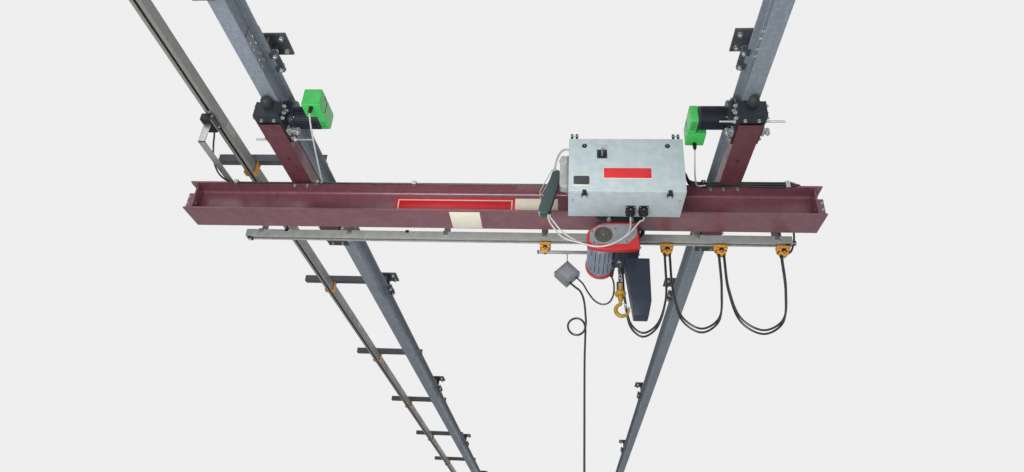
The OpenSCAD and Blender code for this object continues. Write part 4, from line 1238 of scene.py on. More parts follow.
@dataclass
class ControlCabinet:
    """The sheet-steel control cabinet with its door, switch, plates, switchgear and connectors."""

    left: float = 339.0
    right: float = 951.0
    bottom: float = -58.0
    top: float = 284.0
    front: float = -404.0
    seam: float = -381.7
    back: float = -150.0
    lip: float = 14.0
    door_back: float = -382.0
    hinge_xs: tuple[float, float] = (423.0, 867.0)
    lock_z: float = 235.0
    switch_x: float = 517.0
    switch_z: float = 180.0
    socket_y: float = -265.0

    def build(self) -> None:
        """Builds every piece of the cabinet."""
        self.shell()
        self.door()
        self.switch()
        self.switchgear()
        self.brackets()
        self.underside_plugs()
        self.side_socket()

    def shell(self) -> None:
        """Builds the folded box with the rim round its opening, the fixed hinge halves and two bolts
        underneath.
        """
        form = Form("cabinet_box")
        form.tray((self.left, self.seam, self.bottom), (self.right, self.back, self.top), Axis.Y, -1, 2.0,
            CABINET_GREY, 3.0)
        x0, x1, z0, z1 = self.left + 2, self.right - 2, self.bottom + 2, self.top - 2
        for a, b, c, d in ((x0, x0 + self.lip, z0, z1), (x1 - self.lip, x1, z0, z1),
                (x0, x1, z0, z0 + self.lip), (x0, x1, z1 - self.lip, z1)):
            form.block((a, self.seam, c), (b, self.seam + 1.6, d), CABINET_GREY, 0.5)
        for x in self.hinge_xs:
            with form.placed((x, self.seam, self.bottom - 8)):
                form.rod(Axis.X, (-16, 0, 0), 32, 2.9, ZINC, 18)
                for s in (-1, 1):
                    form.block((s * 10.2, 0.2, -5), (s * 15.4, 20, 8.2), BLACK_PLASTIC, 1.2)
                    form.lathe([(s * 10.2, 6), (s * 15.4, 6)], Axis.X, (0, 0, 0), BLACK_PLASTIC, 24)
        for x in (self.left + 24, self.right - 24):
            form.bolt(Axis.Z, (x, self.seam + 60, self.bottom), 8, out=-1)
        form.build("bridge", ["cabinet_shell"], "cabinet_grey")

    def door(self) -> None:
        """Builds the folded door with its locks, hinges, seal and bare plates."""
        form = Form("cabinet_door_leaf")
        form.tray((self.left, self.front, self.bottom), (self.right, self.door_back, self.top), Axis.Y, 1, 1.8,
            CABINET_GREY, 3.2)
        face = self.front
        seal = ((355, 359, -42, 268), (931, 935, -42, 268), (355, 935, -42, -38), (355, 935, 264, 268))
        for x0, x1, z0, z1 in seal:
            form.block((x0, -402.4, z0), (x1, self.door_back + 0.1, z1), BUFFER_RUBBER, 1.2)
        for x in (380, 910):
            form.block((x - 9, -402.4, -30), (x + 9, -394, 256), GALVANISED, 1.5)
        form.block((560, -402.4, 20), (800, -386, 150), GREY_PLASTIC, 3.0, 3)
        for x in self.hinge_xs:
            with form.placed((x, self.seam, self.bottom - 8)):
                form.lathe([(-9.4, 5.2), (-8.6, 6), (8.6, 6), (9.4, 5.2)], Axis.X, (0, 0, 0), BLACK_PLASTIC, 28)
                form.block((-9.4, -21.8, -4.6), (9.4, -1.2, 8), BLACK_PLASTIC, 1.6)
                form.block((-10.5, -23.6, -2.6), (10.5, -21.4, 17), BLACK_PLASTIC, 1.0)
            with form.placed((x, face, self.lock_z)):
                form.lathe([(0.4, 14), (-1.2, 14), (-2.2, 13), (-2.2, 12), (-4.2, 11.4), (-5.0, 10),
                    (-5.0, 5.4), (-3.6, 5.2)], Axis.Y, (0, 0, 0), BLACK_PLASTIC, 32)
                form.prism([(-3.4, -2.4), (3.4, -2.4), (0, 3.8)], Axis.Y, -4.8, -3.4, ZINC, 0.4)
        form.block((self.switch_x - 27, face - 3.6, self.switch_z - 28),
            (self.switch_x + 27, face + 0.2, self.switch_z + 28.5), BLACK_PLASTIC, 1.8, 3)
        for sx, sz in CORNERS:
            form.lathe([(0.2, 0), (0.2, 2.6), (-1.0, 2.4), (-1.4, 0)], Axis.Y,
                (self.switch_x + sx * 21.5, face - 3.6, self.switch_z + 0.5 + sz * 22.5), SWITCH_GREY, 14,
                capped=False)
        form.block((480, face - 0.9, 233), (548, face + 0.2, 244), GREY_PLASTIC, 0.4)
        form.block((522, face - 0.8, 22), (778, face + 0.2, 92), SIGN_CREAM, 0.4)
        form.block((525, face - 1.2, 25), (775, face - 0.6, 89), SIGN_RED, 0.3)
        form.block((361, face - 0.8, -24), (454, face + 0.2, 43), SIGN_CREAM, 0.4)
        form.block((365, face - 1.2, -18), (450, face - 0.6, 38), LABEL_DARK, 0.3)
        for x, z in product((370, 445), (-13, 33)):
            form.lathe([(0.3, 0), (0.3, 2.0), (-0.5, 1.8), (-0.9, 0)], Axis.Y, (x, face - 1.2, z), ZINC, 12,
                capped=False)
        form.build("cabinet_door", ["cabinet_door"], "cabinet_grey")

    def switch(self) -> None:
        """Builds the turning knob of the main switch."""
        form = Form("main_switch_knob")
        with form.placed((self.switch_x, self.front, self.switch_z)):
            form.lathe([(-3.9, 22), (-5.5, 23), (-9, 22.4), (-11, 20.5), (-11.6, 17)], Axis.Y, (0, 0, 0),
                BLACK_PLASTIC, 40)
            grip = [(-4.6, -20), (4.6, -20), (5.4, -8), (6.2, 14), (3.0, 22.4), (0, 24), (-3.0, 22.4),
                (-6.2, 14), (-5.4, -8)]
            form.prism(grip, Axis.Y, -31.6, -11, SWITCH_GREY, 1.6, 3)
            form.block((-0.9, -32.0, 8), (0.9, -31.2, 21), SIGN_CREAM, 0.2)
        form.build("main_switch", ["main_switch"], "black_plastic")

    def switchgear(self) -> None:
        """Builds the mounting plate with contactors, terminals, trunking and a transformer."""
        form = Form("cabinet_switchgear")
        form.block((369, -164, -28), (921, -161.5, 254), GALVANISED, 1.0)
        for x, z in product((380, 910), (-18, 244)):
            form.rod(Axis.Y, (x, -161.6, z), 10, 5, ZINC, 14)
            form.bolt(Axis.Y, (x, -164, z), 13, out=-1)
        for z in (10, 118, 226):
            form.block((392, -199, z - 16), (898, -164.1, z + 16), GREY_PLASTIC, 1.2)
            for k in range(42):
                form.block((398 + k * 11.9, -199.5, z - 16.4), (403 + k * 11.9, -178, z - 12.5), PANEL_GREY,
                    0.3)
        for z in (63, 172):
            form.block((396, -171.5, z - 17), (894, -164.1, z + 17), ZINC, 0.6)
        for k in range(5):
            x = 404 + k * 52
            form.block((x, -242, 26 + 12), (x + 45, -171.6, 98 - 8), CONTACTOR_IVORY, 2.2)
            form.block((x + 5, -256, 48), (x + 40, -241, 80), BLACK_PLASTIC, 2.0)
            for s, z in product(range(3), (43, 85)):
                form.lathe([(0, 3.2), (-2, 3.2)], Axis.Y, (x + 9.5 + s * 13, -242, z), ZINC, 12)
        form.block((680, -268, 34), (770, -171.6, 96), BLACK_PLASTIC, 2.5)
        for k in range(7):
            form.block((686 + k * 11.4, -270.5, 38), (692 + k * 11.4, -267, 92), PANEL_GREY, 0.8)
        form.block((790, -240, 36), (880, -171.6, 92), HOOD_GREEN, 2.2)
        for k in range(26):
            x = 404 + k * 9.1
            form.block((x, -214, 146), (x + 8.2, -171.6, 198), SWITCH_GREY if k % 5 else HOOD_GREEN, 1.0)
            form.lathe([(0, 2.4), (-1, 2.2)], Axis.Y, (x + 4.1, -214, 158), ZINC, 8)
            form.lathe([(0, 2.4), (-1, 2.2)], Axis.Y, (x + 4.1, -214, 186), ZINC, 8)
        for k in range(6):
            form.block((664 + k * 37, -236, 146), (697 + k * 37, -171.6, 198), CONTACTOR_IVORY, 1.8)
            form.block((670 + k * 37, -246, 162), (682 + k * 37, -235, 182), BLACK_PLASTIC, 1.2)
        form.build("bridge", slot="cabinet_grey")

    def brackets(self) -> None:
        """Builds the angles that carry the cabinet on the girder's top flange."""
        form = Form("cabinet_angles")
        for x in (409, 881):
            with form.placed((x, 0, 0)):
                form.blocks((((-25, -149.9, 190.1), (25, -40, 196)), ((-25, -149.9, 190.1), (25, -144, 260))),
                    PLATE_DARK, 1.2)
                form.prism([(-144.5, 195.5), (-100, 195.5), (-144.5, 236)], Axis.X, -2.5, 2.5, PLATE_DARK, 0.6)
                for sx in (-1, 1):
                    form.bolt(Axis.Z, (sx * 12, -64, 196), 16)
                    form.bolt(Axis.Y, (sx * 12, -144, 244), 13)
        form.build("bridge", ["cabinet_brackets"], "dark_steel")
        form = Form("cabinet_lugs")
        for x, y in product((self.left + 30, self.right - 30), (-368, -170)):
            with form.placed((x, y, self.top)):
                form.block((-24, -11, 0.1), (24, 11, 5), BLACK_PLASTIC, 1.2)
                for sx in (-1, 1):
                    form.block((sx * 6, -3, 4.5), (sx * 20, 3, 58), BLACK_PLASTIC, 2.4, 3)
                    form.bolt(Axis.Z, (sx * 13, -7, 5), 5)
                form.rod(Axis.X, (-23, 0, 44), 46, 4, ZINC, 18)
        form.build("bridge", slot="black_plastic")
        form = Form("cable_outlet")
        form.block((self.right + 0.1, -216, 176), (self.right + 5, -184, 230), BLACK_PLASTIC, 2.0, 3)
        for z in (190, 202.6, 215.2):
            form.lathe([(4.8, 6.2), (9, 6.2), (12, 6.0), (26, 6.0)], Axis.X, (self.right, -200, z),
                BLACK_PLASTIC, 20)
        form.build("bridge", slot="black_plastic")

    def underside_plugs(self) -> None:
        """Builds the two plugs under the cabinet and their glands."""
        form = Form("underside_plugs")
        for x in (649, 719):
            with form.placed((x + 25, -231, self.bottom)):
                form.block((-25, -36, -7), (25, 36, -0.1), BLACK_PLASTIC, 2.0, 3)
                form.block((-22, -27, -30), (22, 27, -6.5), BLACK_PLASTIC, 3.5, 3)
                form.block((-25, -12, -37), (25, 12, -29), BLACK_PLASTIC, 2.4, 3)
                form.block((-15, -18, -41), (15, 18, -29), BLACK_PLASTIC, 3.0, 3)
                form.lathe([(-40, 11.5), (-46, 11.5)], Axis.Z, (0, 0, 0), BLACK_PLASTIC, 6)
                form.lathe([(-45, 9.5), (-48, 9), (-52, 6.6)], Axis.Z, (0, 0, 0), BLACK_PLASTIC, 24)
                for sx, sy in CORNERS:
                    form.bolt(Axis.Z, (sx * 19, sy * 31, -7), 6, out=-1)
                form.lathe([(0, 0), (0, 3.4), (-1.0, 3.0), (-1.4, 0)], Axis.Y, (0, -27, -17), ZINC, 16,
                    capped=False)
        form.build("bridge", ["cabinet_plugs"], "black_plastic")

    def side_socket(self) -> None:
        """Builds the socket on the cabinet's left side with its hood, lever and conduit elbow."""
        form = Form("side_socket")
        y = self.socket_y
        form.block((330, y - 34, 36), (338.8, y + 34, 248), PANEL_GREY, 2.0)
        form.prism([(289, 60), (296, 44), (330.5, 40), (330.5, 246), (300, 250), (291, 232)], Axis.Y, y - 30,
            y + 30, RAIL_ZINC, 4.0, 3)
        for k in range(9):
            form.blocks((((294, y - 33.2, 58 + k * 13.5), (328, y - 29.5, 63 + k * 13.5)),
                ((294, y + 29.5, 58 + k * 13.5), (328, y + 33.2, 63 + k * 13.5))), RAIL_ZINC, 1.2)
        form.lathe([(0, 21), (-5, 23), (-9, 21)], Axis.Y, (308, y - 28, 206), GREY_PLASTIC, 32)
        form.bolt(Axis.Y, (308, y - 37, 206), 11, out=-1)
        outline = [(254, 160), (286, 155), (293, 140), (286, 70), (240, -112), (222, -127), (190, -122),
            (180, -108), (183, -84)]
        form.prism(outline, Axis.Y, y - 25, y + 25, HOOD_DARK, 4.0, 3)
        panel = [(259, 146), (280, 142), (276, 68), (232, -104), (196, -110), (194, -84)]
        form.prism(panel, Axis.Y, y - 26.4, y - 24.5, HOOD_DARK, 0.9)
        for s in (-1, 1):
            rail = y + s * 28.2
            form.tube([(262, rail, 158), (247, rail, 152), (214, rail, 76), (186, rail, 10), (184, rail, 0),
                (193, rail, -14)], 2.4, ZINC, 10)
            form.bolt(Axis.Y, (262, y + s * 25, 150), 12, out=s)
        form.tube([(193, y - 28.2, -14), (190, y - 14, -15), (189, y + 14, -15), (193, y + 28.2, -14)], 2.4,
            ZINC, 10)
        form.block((181, y - 20, -121), (196, y + 20, -104), ZINC, 2.0)
        form.lathe([(-92, 13), (-106, 13)], Axis.Z, (237.5, y, 0), HOOD_DARK, 6)
        form.lathe([(-105, 11.6), (-114, 11), (-120, 9.8)], Axis.Z, (237.5, y, 0), BLACK_PLASTIC, 28)
        form.build("bridge", ["cabinet_plugs"], "black_plastic")
        form = Form("conduit_elbow")
        form.lathe([(-0.2, 13), (9, 13), (9, 9), (20, 8)], Axis.Z, (354, y + 30, self.top), BLACK_PLASTIC, 24)
        bend = [(354, y + 30, 302), (350, y + 26, 316), (332, y + 18, 326), (306, y + 10, 316),
            (286, y + 4, 286), (272, y, 244), (264, y, 204), (262, y, 172), (262, y, 158)]
        # Painted highlight: the elbow is pale grey all along, standing for the light arc on a black conduit.
        line = smooth_route(bend, 60)
        form.tube(line, [6.6 if k % 2 else 5.6 for k in range(60)], CABLE_GREY, 16)
        form.build("bridge", ["cabinet_plugs"], "black_plastic", angle=60.0)


@dataclass
class FestoonLine:
    """The C rail beside the girder with its brackets, cable carriers, cable clips and collector."""

    rail_y: float = 190.0
    rail_z: float = -33.0
    rail: float = 48.0
    ends: tuple[float, float] = (-1650.0, 1640.0)
    bracket_xs: tuple[float, ...] = (-1560.0, -1000.0, -400.0, 200.0, 1100.0, 1560.0)
    clip_xs: tuple[float, ...] = (-1650.0, -1150.0, -565.0)
    rail_clip_xs: tuple[float, ...] = (-1400.0, -1000.0, -640.0)
    bundle_clips: tuple[tuple[float, Finish], ...] = ((1104.0, BLACK_PLASTIC), (1570.0, ZINC))

    def build(self) -> None:
        """Builds everything that guides the cables."""
        dress("festoon_rail", RAIL_ZINC)
        self.rail_fittings()
        for x, node, body in ((922.0, "festoon_trolley_1", "festoon_1"),
                (1234.0, "festoon_trolley_2", "festoon_2"), (1589.0, "festoon_anchor", "bridge")):
            form = Form(node.replace("trolley", "carrier") + "_body")
            with form.placed((x, self.rail_y, self.rail_z)):
                self.carrier(form, 26.0, (x - 14, x + 14) if x < 1500 else (x - 14,), x)
                if x > 1500:
                    form.block((-20, 22.1, -31), (38, 62, -12), CARRIER_YELLOW, 3.0, 3)
                    for v in (1.0, 13.6):
                        form.lathe([(-12.2, 6.2), (-11.8, 6.2), (-4, 6.9), (4, 6.5)], Axis.Z, (v, 48, 0),
                            BLACK_PLASTIC, 20)
            form.build(body, [node], "carrier_yellow")
        self.cable_clips()
        self.collector()

    def rail_fittings(self) -> None:
        """Builds the rail's brackets and end fittings."""
        form = Form("festoon_rail_brackets")
        top = self.rail_z + self.rail
        y0 = self.rail_y
        for x in self.bracket_xs:
            with form.placed((x, 0, 0)):
                form.blocks((((-20, 40, 190.1), (20, y0 + 20, 195)),
                    ((-20, y0 + 15, top + 0.1), (20, y0 + 20, 194)),
                    ((-20, y0 - 24, top + 0.1), (20, y0 + 16, top + 4))), ZINC, 0.8)
                form.bolt(Axis.Z, (0, 70, 195), 16)
                form.bolt(Axis.Z, (0, y0 - 6, top + 4), 16)
                form.prism([(y0 - 30, 190.2), (y0 + 15.4, 190.2), (y0 + 15.4, 150)], Axis.X, -2, 2, ZINC, 0.5)
                for s in (-1, 1):
                    form.block((-14, y0 + s * 24.3, top - 30), (14, y0 + s * 27, top + 4), ZINC, 0.6)
        form.build("bridge", ["festoon_brackets"], "zinc")
        form = Form("festoon_rail_ends")
        for x, way in ((self.ends[0], -1), (self.ends[1], 1)):
            form.block((x, y0 - 25, self.rail_z - 1), (x + way * 4, y0 + 25, top + 1), GREY_PLASTIC, 1.4)
            form.block((x - way * 34, y0 - 20, self.rail_z - 9), (x - way * 10, y0 + 20, self.rail_z - 0.2),
                BLACK_PLASTIC, 2.0)
            form.bolt(Axis.Z, (x - way * 22, y0, self.rail_z - 9), 13, out=-1)
        form.rod(Axis.X, (self.ends[1] + 4, y0 - 4, self.rail_z + 12), 16, 5, ZINC, 16)
        form.lathe([(20, 15), (23, 17), (27, 15)], Axis.X, (self.ends[1], y0 - 4, self.rail_z + 12), GALVANISED,
            24)
        form.build("bridge", slot="zinc")

    def carrier(self, form: Form, half: float, cable_xs: Sequence[float], centre_x: float) -> None:
        """Adds one cable carrier; zero is the middle of the rail's underside.

        Args:
            form: The piece that it goes into.
            half: Half the carrier's length.
            cable_xs: Where cables leave it, in the bridge's frame.
            centre_x: Where it stands, in the bridge's frame.
        """
        cap = half + 12
        for sx in (-1, 1):
            for sy in (-1, 1):
                x = sx * half / 2
                form.lathe([(sy * 10, 9), (sy * 11, 9.9), (sy * 18, 9.9), (sy * 19, 9), (sy * 19, 4),
                    (sy * 17, 3.4)], Axis.Y, (x, 0, 12.3), BLACK_PLASTIC, 28)
            form.rod(Axis.Y, (sx * half / 2, -11, 12.3), 22, 3, ZINC, 14)
        form.block((-half, -3, -14), (half, 3, 20), ZINC, 0.8)
        form.block((-cap, -22, -30), (cap, 22, -12.2), CARRIER_YELLOW, 4.0, 3)
        form.block((-cap + 6, -20, -52), (cap - 6, 20, -29), BLACK_PLASTIC, 4.0, 3)
        for sx in (-1, 1):
            form.lathe([(-23.5, 8), (-22, 11.5), (22, 11.5), (23.5, 8)], Axis.Y, (sx * cap * 0.62, 0, -38),
                CARRIER_YELLOW, 32)
            form.bolt(Axis.Y, (sx * cap * 0.62, -23.5, -38), 8, out=-1)
        arch = [(-cap + 10, -46), (-cap + 12, -60), (-cap + 20, -70), (-8, -78), (8, -78), (cap - 20, -70),
            (cap - 12, -60), (cap - 10, -46)]
        form.prism(arch, Axis.Y, -18, 18, CARRIER_YELLOW, 3.2, 3)
        form.block((-6, -21.4, -62), (6, 21.4, -44), BLACK_PLASTIC, 1.2)
        for sy in (-1, 1):
            form.bolt(Axis.Y, (0, sy * 21.4, -54), 9, out=sy)
        for x in cable_xs:
            for y in (-8, 8):
                form.lathe([(-79, 6.6), (-78, 8.2), (-68, 8.6), (-60, 8.0)], Axis.Z, (x - centre_x, y, 0),
                    BLACK_PLASTIC, 24)

    def cable_clips(self) -> None:
        """Builds the clips that hold the cables against the girder's top flange."""
        form = Form("girder_cable_clips")
        for x in self.clip_xs:
            with form.placed((x, -100, 190)):
                form.blocks((((-12, -18, 0.1), (12, 32, 3)), ((-12, -18, -22), (12, -15.2, 3)),
                    ((-12, -18, -22), (12, -0.4, -19.2))), ZINC, 0.6)
                form.bolt(Axis.Z, (0, 20, 3), 13)
                form.bolt(Axis.Y, (0, -18, -4), 8, out=-1)
        for x, finish in self.bundle_clips:
            with form.placed((x, -100, 190)):
                form.blocks((((-12, 0, 0.1), (12, 32, 3)), ((-12, 0, 0.1), (12, 2.8, 23)),
                    ((-12, -18, 20.2), (12, 2.8, 23)), ((-12, -18, -22), (12, -15.2, 23)),
                    ((-12, -18, -22), (12, -0.4, -19.2))), finish, 0.6)
                form.bolt(Axis.Z, (0, 20, 3), 13)
                form.bolt(Axis.Y, (0, -18, 10), 8, out=-1)
        form.build("bridge", ["cable_clips"], "zinc")
        form = Form("rail_cable_clips")
        for x in self.rail_clip_xs:
            form.block((x - 10, self.rail_y - 26.5, 2), (x + 10, self.rail_y - 24.2, 21), BLACK_PLASTIC, 0.8)
            form.block((x - 10, self.rail_y - 26.5, 15.2), (x + 10, self.rail_y - 4, 21), BLACK_PLASTIC, 1.0)
        form.build("bridge", slot="black_plastic")

    def collector(self) -> None:
        """Builds the current collector and the arm that tows it."""
        form = Form("current_collector")
        with form.placed((-1695, -470, 388)):
            form.block((-12, -70, 8), (12, 70, 38), BLACK_PLASTIC, 3.0, 3)
            for v in (-50, -18, 18, 50):
                form.block((-9, v - 9, 38), (9, v + 9, 44), CHAIN_STEEL, 1.0)
            form.block((-5, -40, -30), (5, 40, 10), GREY_PLASTIC, 1.5)
            form.block((-28, -60, -74), (28, 60, -28), BLACK_PLASTIC, 5.0, 3)
            form.block((-29.2, -44, -66), (29.2, 44, -60), GREY_PLASTIC, 1.0)
            for sx in (-1, 1):
                for v in (-48, 48):
                    form.bolt(Axis.X, (sx * 28, v, -42), 8, out=sx)
                form.tube([(sx * 17, -36, -30), (sx * 17, -20, -8), (sx * 13, 0, 10)], 2.5, ZINC, 10)
            form.lathe([(58, 11), (64, 11)], Axis.Y, (-11, 0, -51), BLACK_PLASTIC, 6)
        with form.placed((-1695, 0, 190)):
            form.blocks((((-20, -490, 0.1), (20, 70, 6)), ((-20, -490, 0.1), (20, -484, 158))), ZINC, 1.0)
            form.prism([(-484.4, 5), (-440, 5), (-484.4, 60)], Axis.X, -2.5, 2.5, ZINC, 0.6)
            form.block((-20, -490, 124), (20, -484, 130), ZINC, 0.6)
            for v in (-60, 20, 50):
                form.bolt(Axis.Z, (0, v, 6), 16)
            form.bolt(Axis.Y, (0, -490, 140), 13, out=-1)
        form.build("bridge", ["collector"], "dark_steel")


@dataclass
class Trolley:
    """The trolley that runs on the girder's bottom flange."""

    x: float = 628.0
    base: float = 220.0
    axle_z: float = 50.3
    inner: float = 112.0
    plate: float = 8.0
    low: float = -92.0

    def build(self) -> None:
        """Builds the frame and dresses the wheels."""
        for side in ("left", "right"):
            dress("trolley_wheels_" + side, WHEEL_STEEL)
        self.frame()
        self.axle_caps()

    def frame(self) -> None:
        """Builds the side plates, cross rods and the hoist's seat."""
        form = Form("trolley_side_plates")
        half = self.base / 2
        outline = [(-half - 50, -10), (-half - 50, 82), (-half - 38, 94), (half + 38, 94), (half + 50, 82),
            (half + 50, -10), (90, self.low), (-90, self.low)]
        with form.placed((self.x, 0, 0)):
            for s in (-1, 1):
                form.prism(outline, Axis.Y, s * self.inner, s * (self.inner + self.plate), PLATE_DARK, 1.4)
                for x in (-62, 62):
                    form.bolt(Axis.Y, (x, s * (self.inner + self.plate), -62), 22, GALVANISED, out=s, shank=8)
                for x in (-half - 36, -26, 26, half + 36):
                    form.bolt(Axis.Y, (x, s * (self.inner + self.plate), 12 if abs(x) > 60 else -30), 15, out=s)
                form.blocks((((-half - 50, s * 104, -8), (-half - 38, s * 111.8, 60)),
                    ((half + 38, s * 104, -8), (half + 50, s * 111.8, 60))), BUFFER_RUBBER, 2.5)
            for x in (-62, 62):
                form.rod(Axis.Y, (x, -self.inner, -62), 2 * self.inner, 13, ZINC, 28, 1.5)
                for s in (-1, 1):
                    form.lathe([(s * 60, 17), (s * 74, 17)], Axis.Y, (x, 0, -62), PLATE_DARK, 28)
            form.block((-80, -30, -80), (80, 30, -68), PLATE_DARK, 1.5)
            for x in (-62, 62):
                form.block((x - 20, -30, -80), (x + 20, 30, -46), PLATE_DARK, 4.0, 3)
        form.build("trolley", ["trolley_frame"], "dark_steel")

    def axle_caps(self) -> None:
        """Adds the outer nuts of the wheels' axles."""
        for side, sx in (("left", -1), ("right", 1)):
            form = Form("trolley_axle_nuts_" + side)
            for s in (-1, 1):
                form.bolt(Axis.Y, (self.x + sx * self.base / 2, s * (self.inner + self.plate + 6), self.axle_z),
                    22, out=s)
            form.build("trolley_wheels_" + side, slot="wheel_steel")


@dataclass
class Hoist:
    """The electric chain hoist under the trolley, with its chain container."""

    x: float = 528.0
    chain_x: float = 628.0
    z: float = -212.0
    front: float = -200.0
    cover: float = 36.0
    end: float = 157.0
    radius: float = 74.0
    case_right: float = 728.0
    case_low: float = -262.0

    def build(self) -> None:
        """Builds every piece of the hoist."""
        self.motor_housing()
        self.front_cover()
        self.rear_cover()
        self.gear_case()
        self.container()

    def motor_housing(self) -> None:
        """Builds the cast housing with its cooling fins and terminal box."""
        form = Form("hoist_housing")
        start, stop = self.front + self.cover + 0.1, self.end - 26.1
        with form.placed((self.x, 0, self.z)):
            outline: list[tuple[float, float]] = []
            for k in range(20):
                a = math.radians(k * 18)
                root = self.radius - 3
                tip = self.radius + 6.5 if abs(math.degrees(a) % 360 - 180) < 144 else self.radius - 2
                for share, r in ((-0.42, root), (-0.36, tip), (0.0, tip + 0.6), (0.36, tip), (0.42, root)):
                    b = a + math.radians(18 * share)
                    outline.append((r * math.cos(b), r * math.sin(b)))
            form.prism(outline, Axis.Y, start + 18, stop - 16, HOUSING_SILVER)
            for low, high in ((start, start + 20), (stop - 18, stop), (-12, 2)):
                form.lathe([(low, self.radius - 1), (low + 2.5, self.radius + 5), (high - 2.5, self.radius + 5),
                    (high, self.radius - 1)], Axis.Y, (0, 0, 0), HOUSING_SILVER, 60)
            for a in (40, 140, 220, 320):
                u, v = 72 * cosine(a), 72 * sine(a)
                form.rod(Axis.Y, (u, start + 18, v), 14, 6, HOUSING_SILVER, 16)
            form.block((-64, -70, -58), (-48, 60, 18), HOUSING_SILVER, 5.0, 3)
        form.build("trolley", ["hoist_motor"], "hoist_silver")

    def front_cover(self) -> None:
        """Builds the red front cover with its grey panel and round vent."""
        form = Form("hoist_front_shell")
        y = self.front
        outline = [(440, -222), (444, -192), (452, -176), (478, -154), (506, -138), (530, -129), (552, -126.5),
            (640, -125.5), (700, -125), (709, -128), (712, -136), (717, -200), (722, -268), (720, -276),
            (712, -282), (696, -289.5), (640, -291), (545, -293), (508, -289), (468, -281), (452, -275),
            (442, -264)]
        form.prism(outline, Axis.Y, y, y + self.cover, HOIST_RED, 5.0, 4)
        panel = [(456, -240), (457, -186), (462, -178), (506, -146), (516, -142), (600, -138), (684, -135.5),
            (692, -139), (706, -160), (708, -168), (707, -204), (703, -212), (664, -251), (654, -256),
            (560, -260), (482, -263), (474, -261), (459, -246)]
        form.prism(panel, Axis.Y, y - 2.2, y + 0.4, PANEL_GREY, 1.0, 3)
        with form.placed((530, y - 2.2, -203)):
            form.lathe([(0.3, 52), (-1.2, 51.5), (-1.8, 50), (-1.8, 49), (-0.6, 48)], Axis.Y, (0, 0, 0),
                PANEL_GREY, 64)
            form.lathe([(-0.5, 48), (-1.0, 48)], Axis.Y, (0, 0, 0), VENT_BROWN, 64)
            for k in range(16):
                r = 7 + k * 2.6
                form.lathe([(-0.9, r), (-1.9, r + 0.5), (-1.9, r + 1.2), (-0.9, r + 1.7)], Axis.Y, (0, 0, 0),
                    VENT_BROWN, 56, capped=False)
            form.lathe([(-0.9, 0), (-0.9, 4), (-2.0, 3.6), (-2.2, 0)], Axis.Y, (0, 0, 0), PANEL_GREY, 20,
                capped=False)
        for x, z in ((596, -165), (688, -150), (470, -184), (480, -252), (655, -243), (600, -250)):
            form.lathe([(0.4, 4.2), (-0.4, 4.4), (-1.2, 3.6), (-1.2, 1.6), (-0.4, 1.5)], Axis.Y,
                (x, y - 2.2, z), BLACK_PLASTIC, 16)
        form.build("trolley", ["hoist_front_cover"], "hoist_red")

    def rear_cover(self) -> None:
        """Builds the red rear cover, with black bars as painted shade for its air slots."""
        form = Form("hoist_rear_shell")
        with form.placed((self.x, 0, self.z)):
            s = self.end
            form.lathe([(s - 26, 84), (s - 24, 86), (s - 7, 86), (s - 2.5, 83), (s, 76), (s, 20), (s - 3, 18)],
                Axis.Y, (0, 0, 0), HOIST_RED, 64)
            # Painted shade: black bars on the cover's face stand for the shaded insides of its air slots.
            for k in range(12):
                a = math.radians(k * 30)
                u, v = math.cos(a), math.sin(a)
                form.tube([(u * 30, s + 0.1, v * 30), (u * 66, s + 0.1, v * 66)], 1.6, BLACK_PLASTIC, 8)
            for a in (45, 135, 225, 315):
                form.bolt(Axis.Y, (68 * cosine(a + 8), s, 68 * sine(a + 8)), 8)
        form.build("trolley", ["hoist_rear_cover"], "hoist_red")

    def gear_case(self) -> None:
        """Builds the black gear case with the chain guide, the suspension and the lead's arm."""
        form = Form("hoist_gearbox")
        form.block((594, -163.8, self.case_low), (self.case_right, 76, -132), MOTOR_BLACK, 9.0, 4)
        for z, y in product((-246, -148), (-140, -60, 20)):
            form.bolt(Axis.X, (self.case_right, y, z), 11)
        form.block((604, -152, -262.6), (716, 64, -260), MOTOR_BLACK, 2.0)
        form.block((636, -163.9 - 0.5, -236), (700, -160, -206), GREY_PLASTIC, 1.0)
        form.lathe([(0.5, 7), (-2, 7), (-3, 5)], Axis.Y, (706, -164, -246), ZINC, 18)
        with form.placed((self.chain_x, 0, 0)):
            form.block((-26, -34, -140), (26, 34, -80), MOTOR_BLACK, 4.0, 3)
            form.lathe([(self.case_low + 2, 16), (self.case_low - 9, 16), (self.case_low - 11, 14.5),
                (self.case_low - 11, 12.8), (self.case_low + 2, 12.8)], Axis.Z, (0, 0, 0), HOUSING_SILVER, 32,
                capped=False)
            form.rod(Axis.Y, (0, -40, -108), 80, 8, ZINC, 24)
            for s in (-1, 1):
                form.bolt(Axis.Y, (0, s * 40, -108), 18, out=s)
            form.block((4, 70, -214), (60, 206, -206.1), PLATE_DARK, 1.4)
            form.block((10, 174, -231.5), (54, 206, -211.5), PLATE_DARK, 3.0, 3)
            for y in (182, 198):
                form.lathe([(-231, 8.5), (-234, 8.2), (-236, 7)], Axis.Z, (32, y, 0), BLACK_PLASTIC, 24)
            form.lathe([(-214, 11), (-226, 11)], Axis.Z, (-52, 144, -48), BLACK_PLASTIC, 6)
        form.block((560, 120, -272), (604, 168, -214), MOTOR_BLACK, 4.0, 3)
        form.build("trolley", ["hoist_gear_case"], "motor_black")

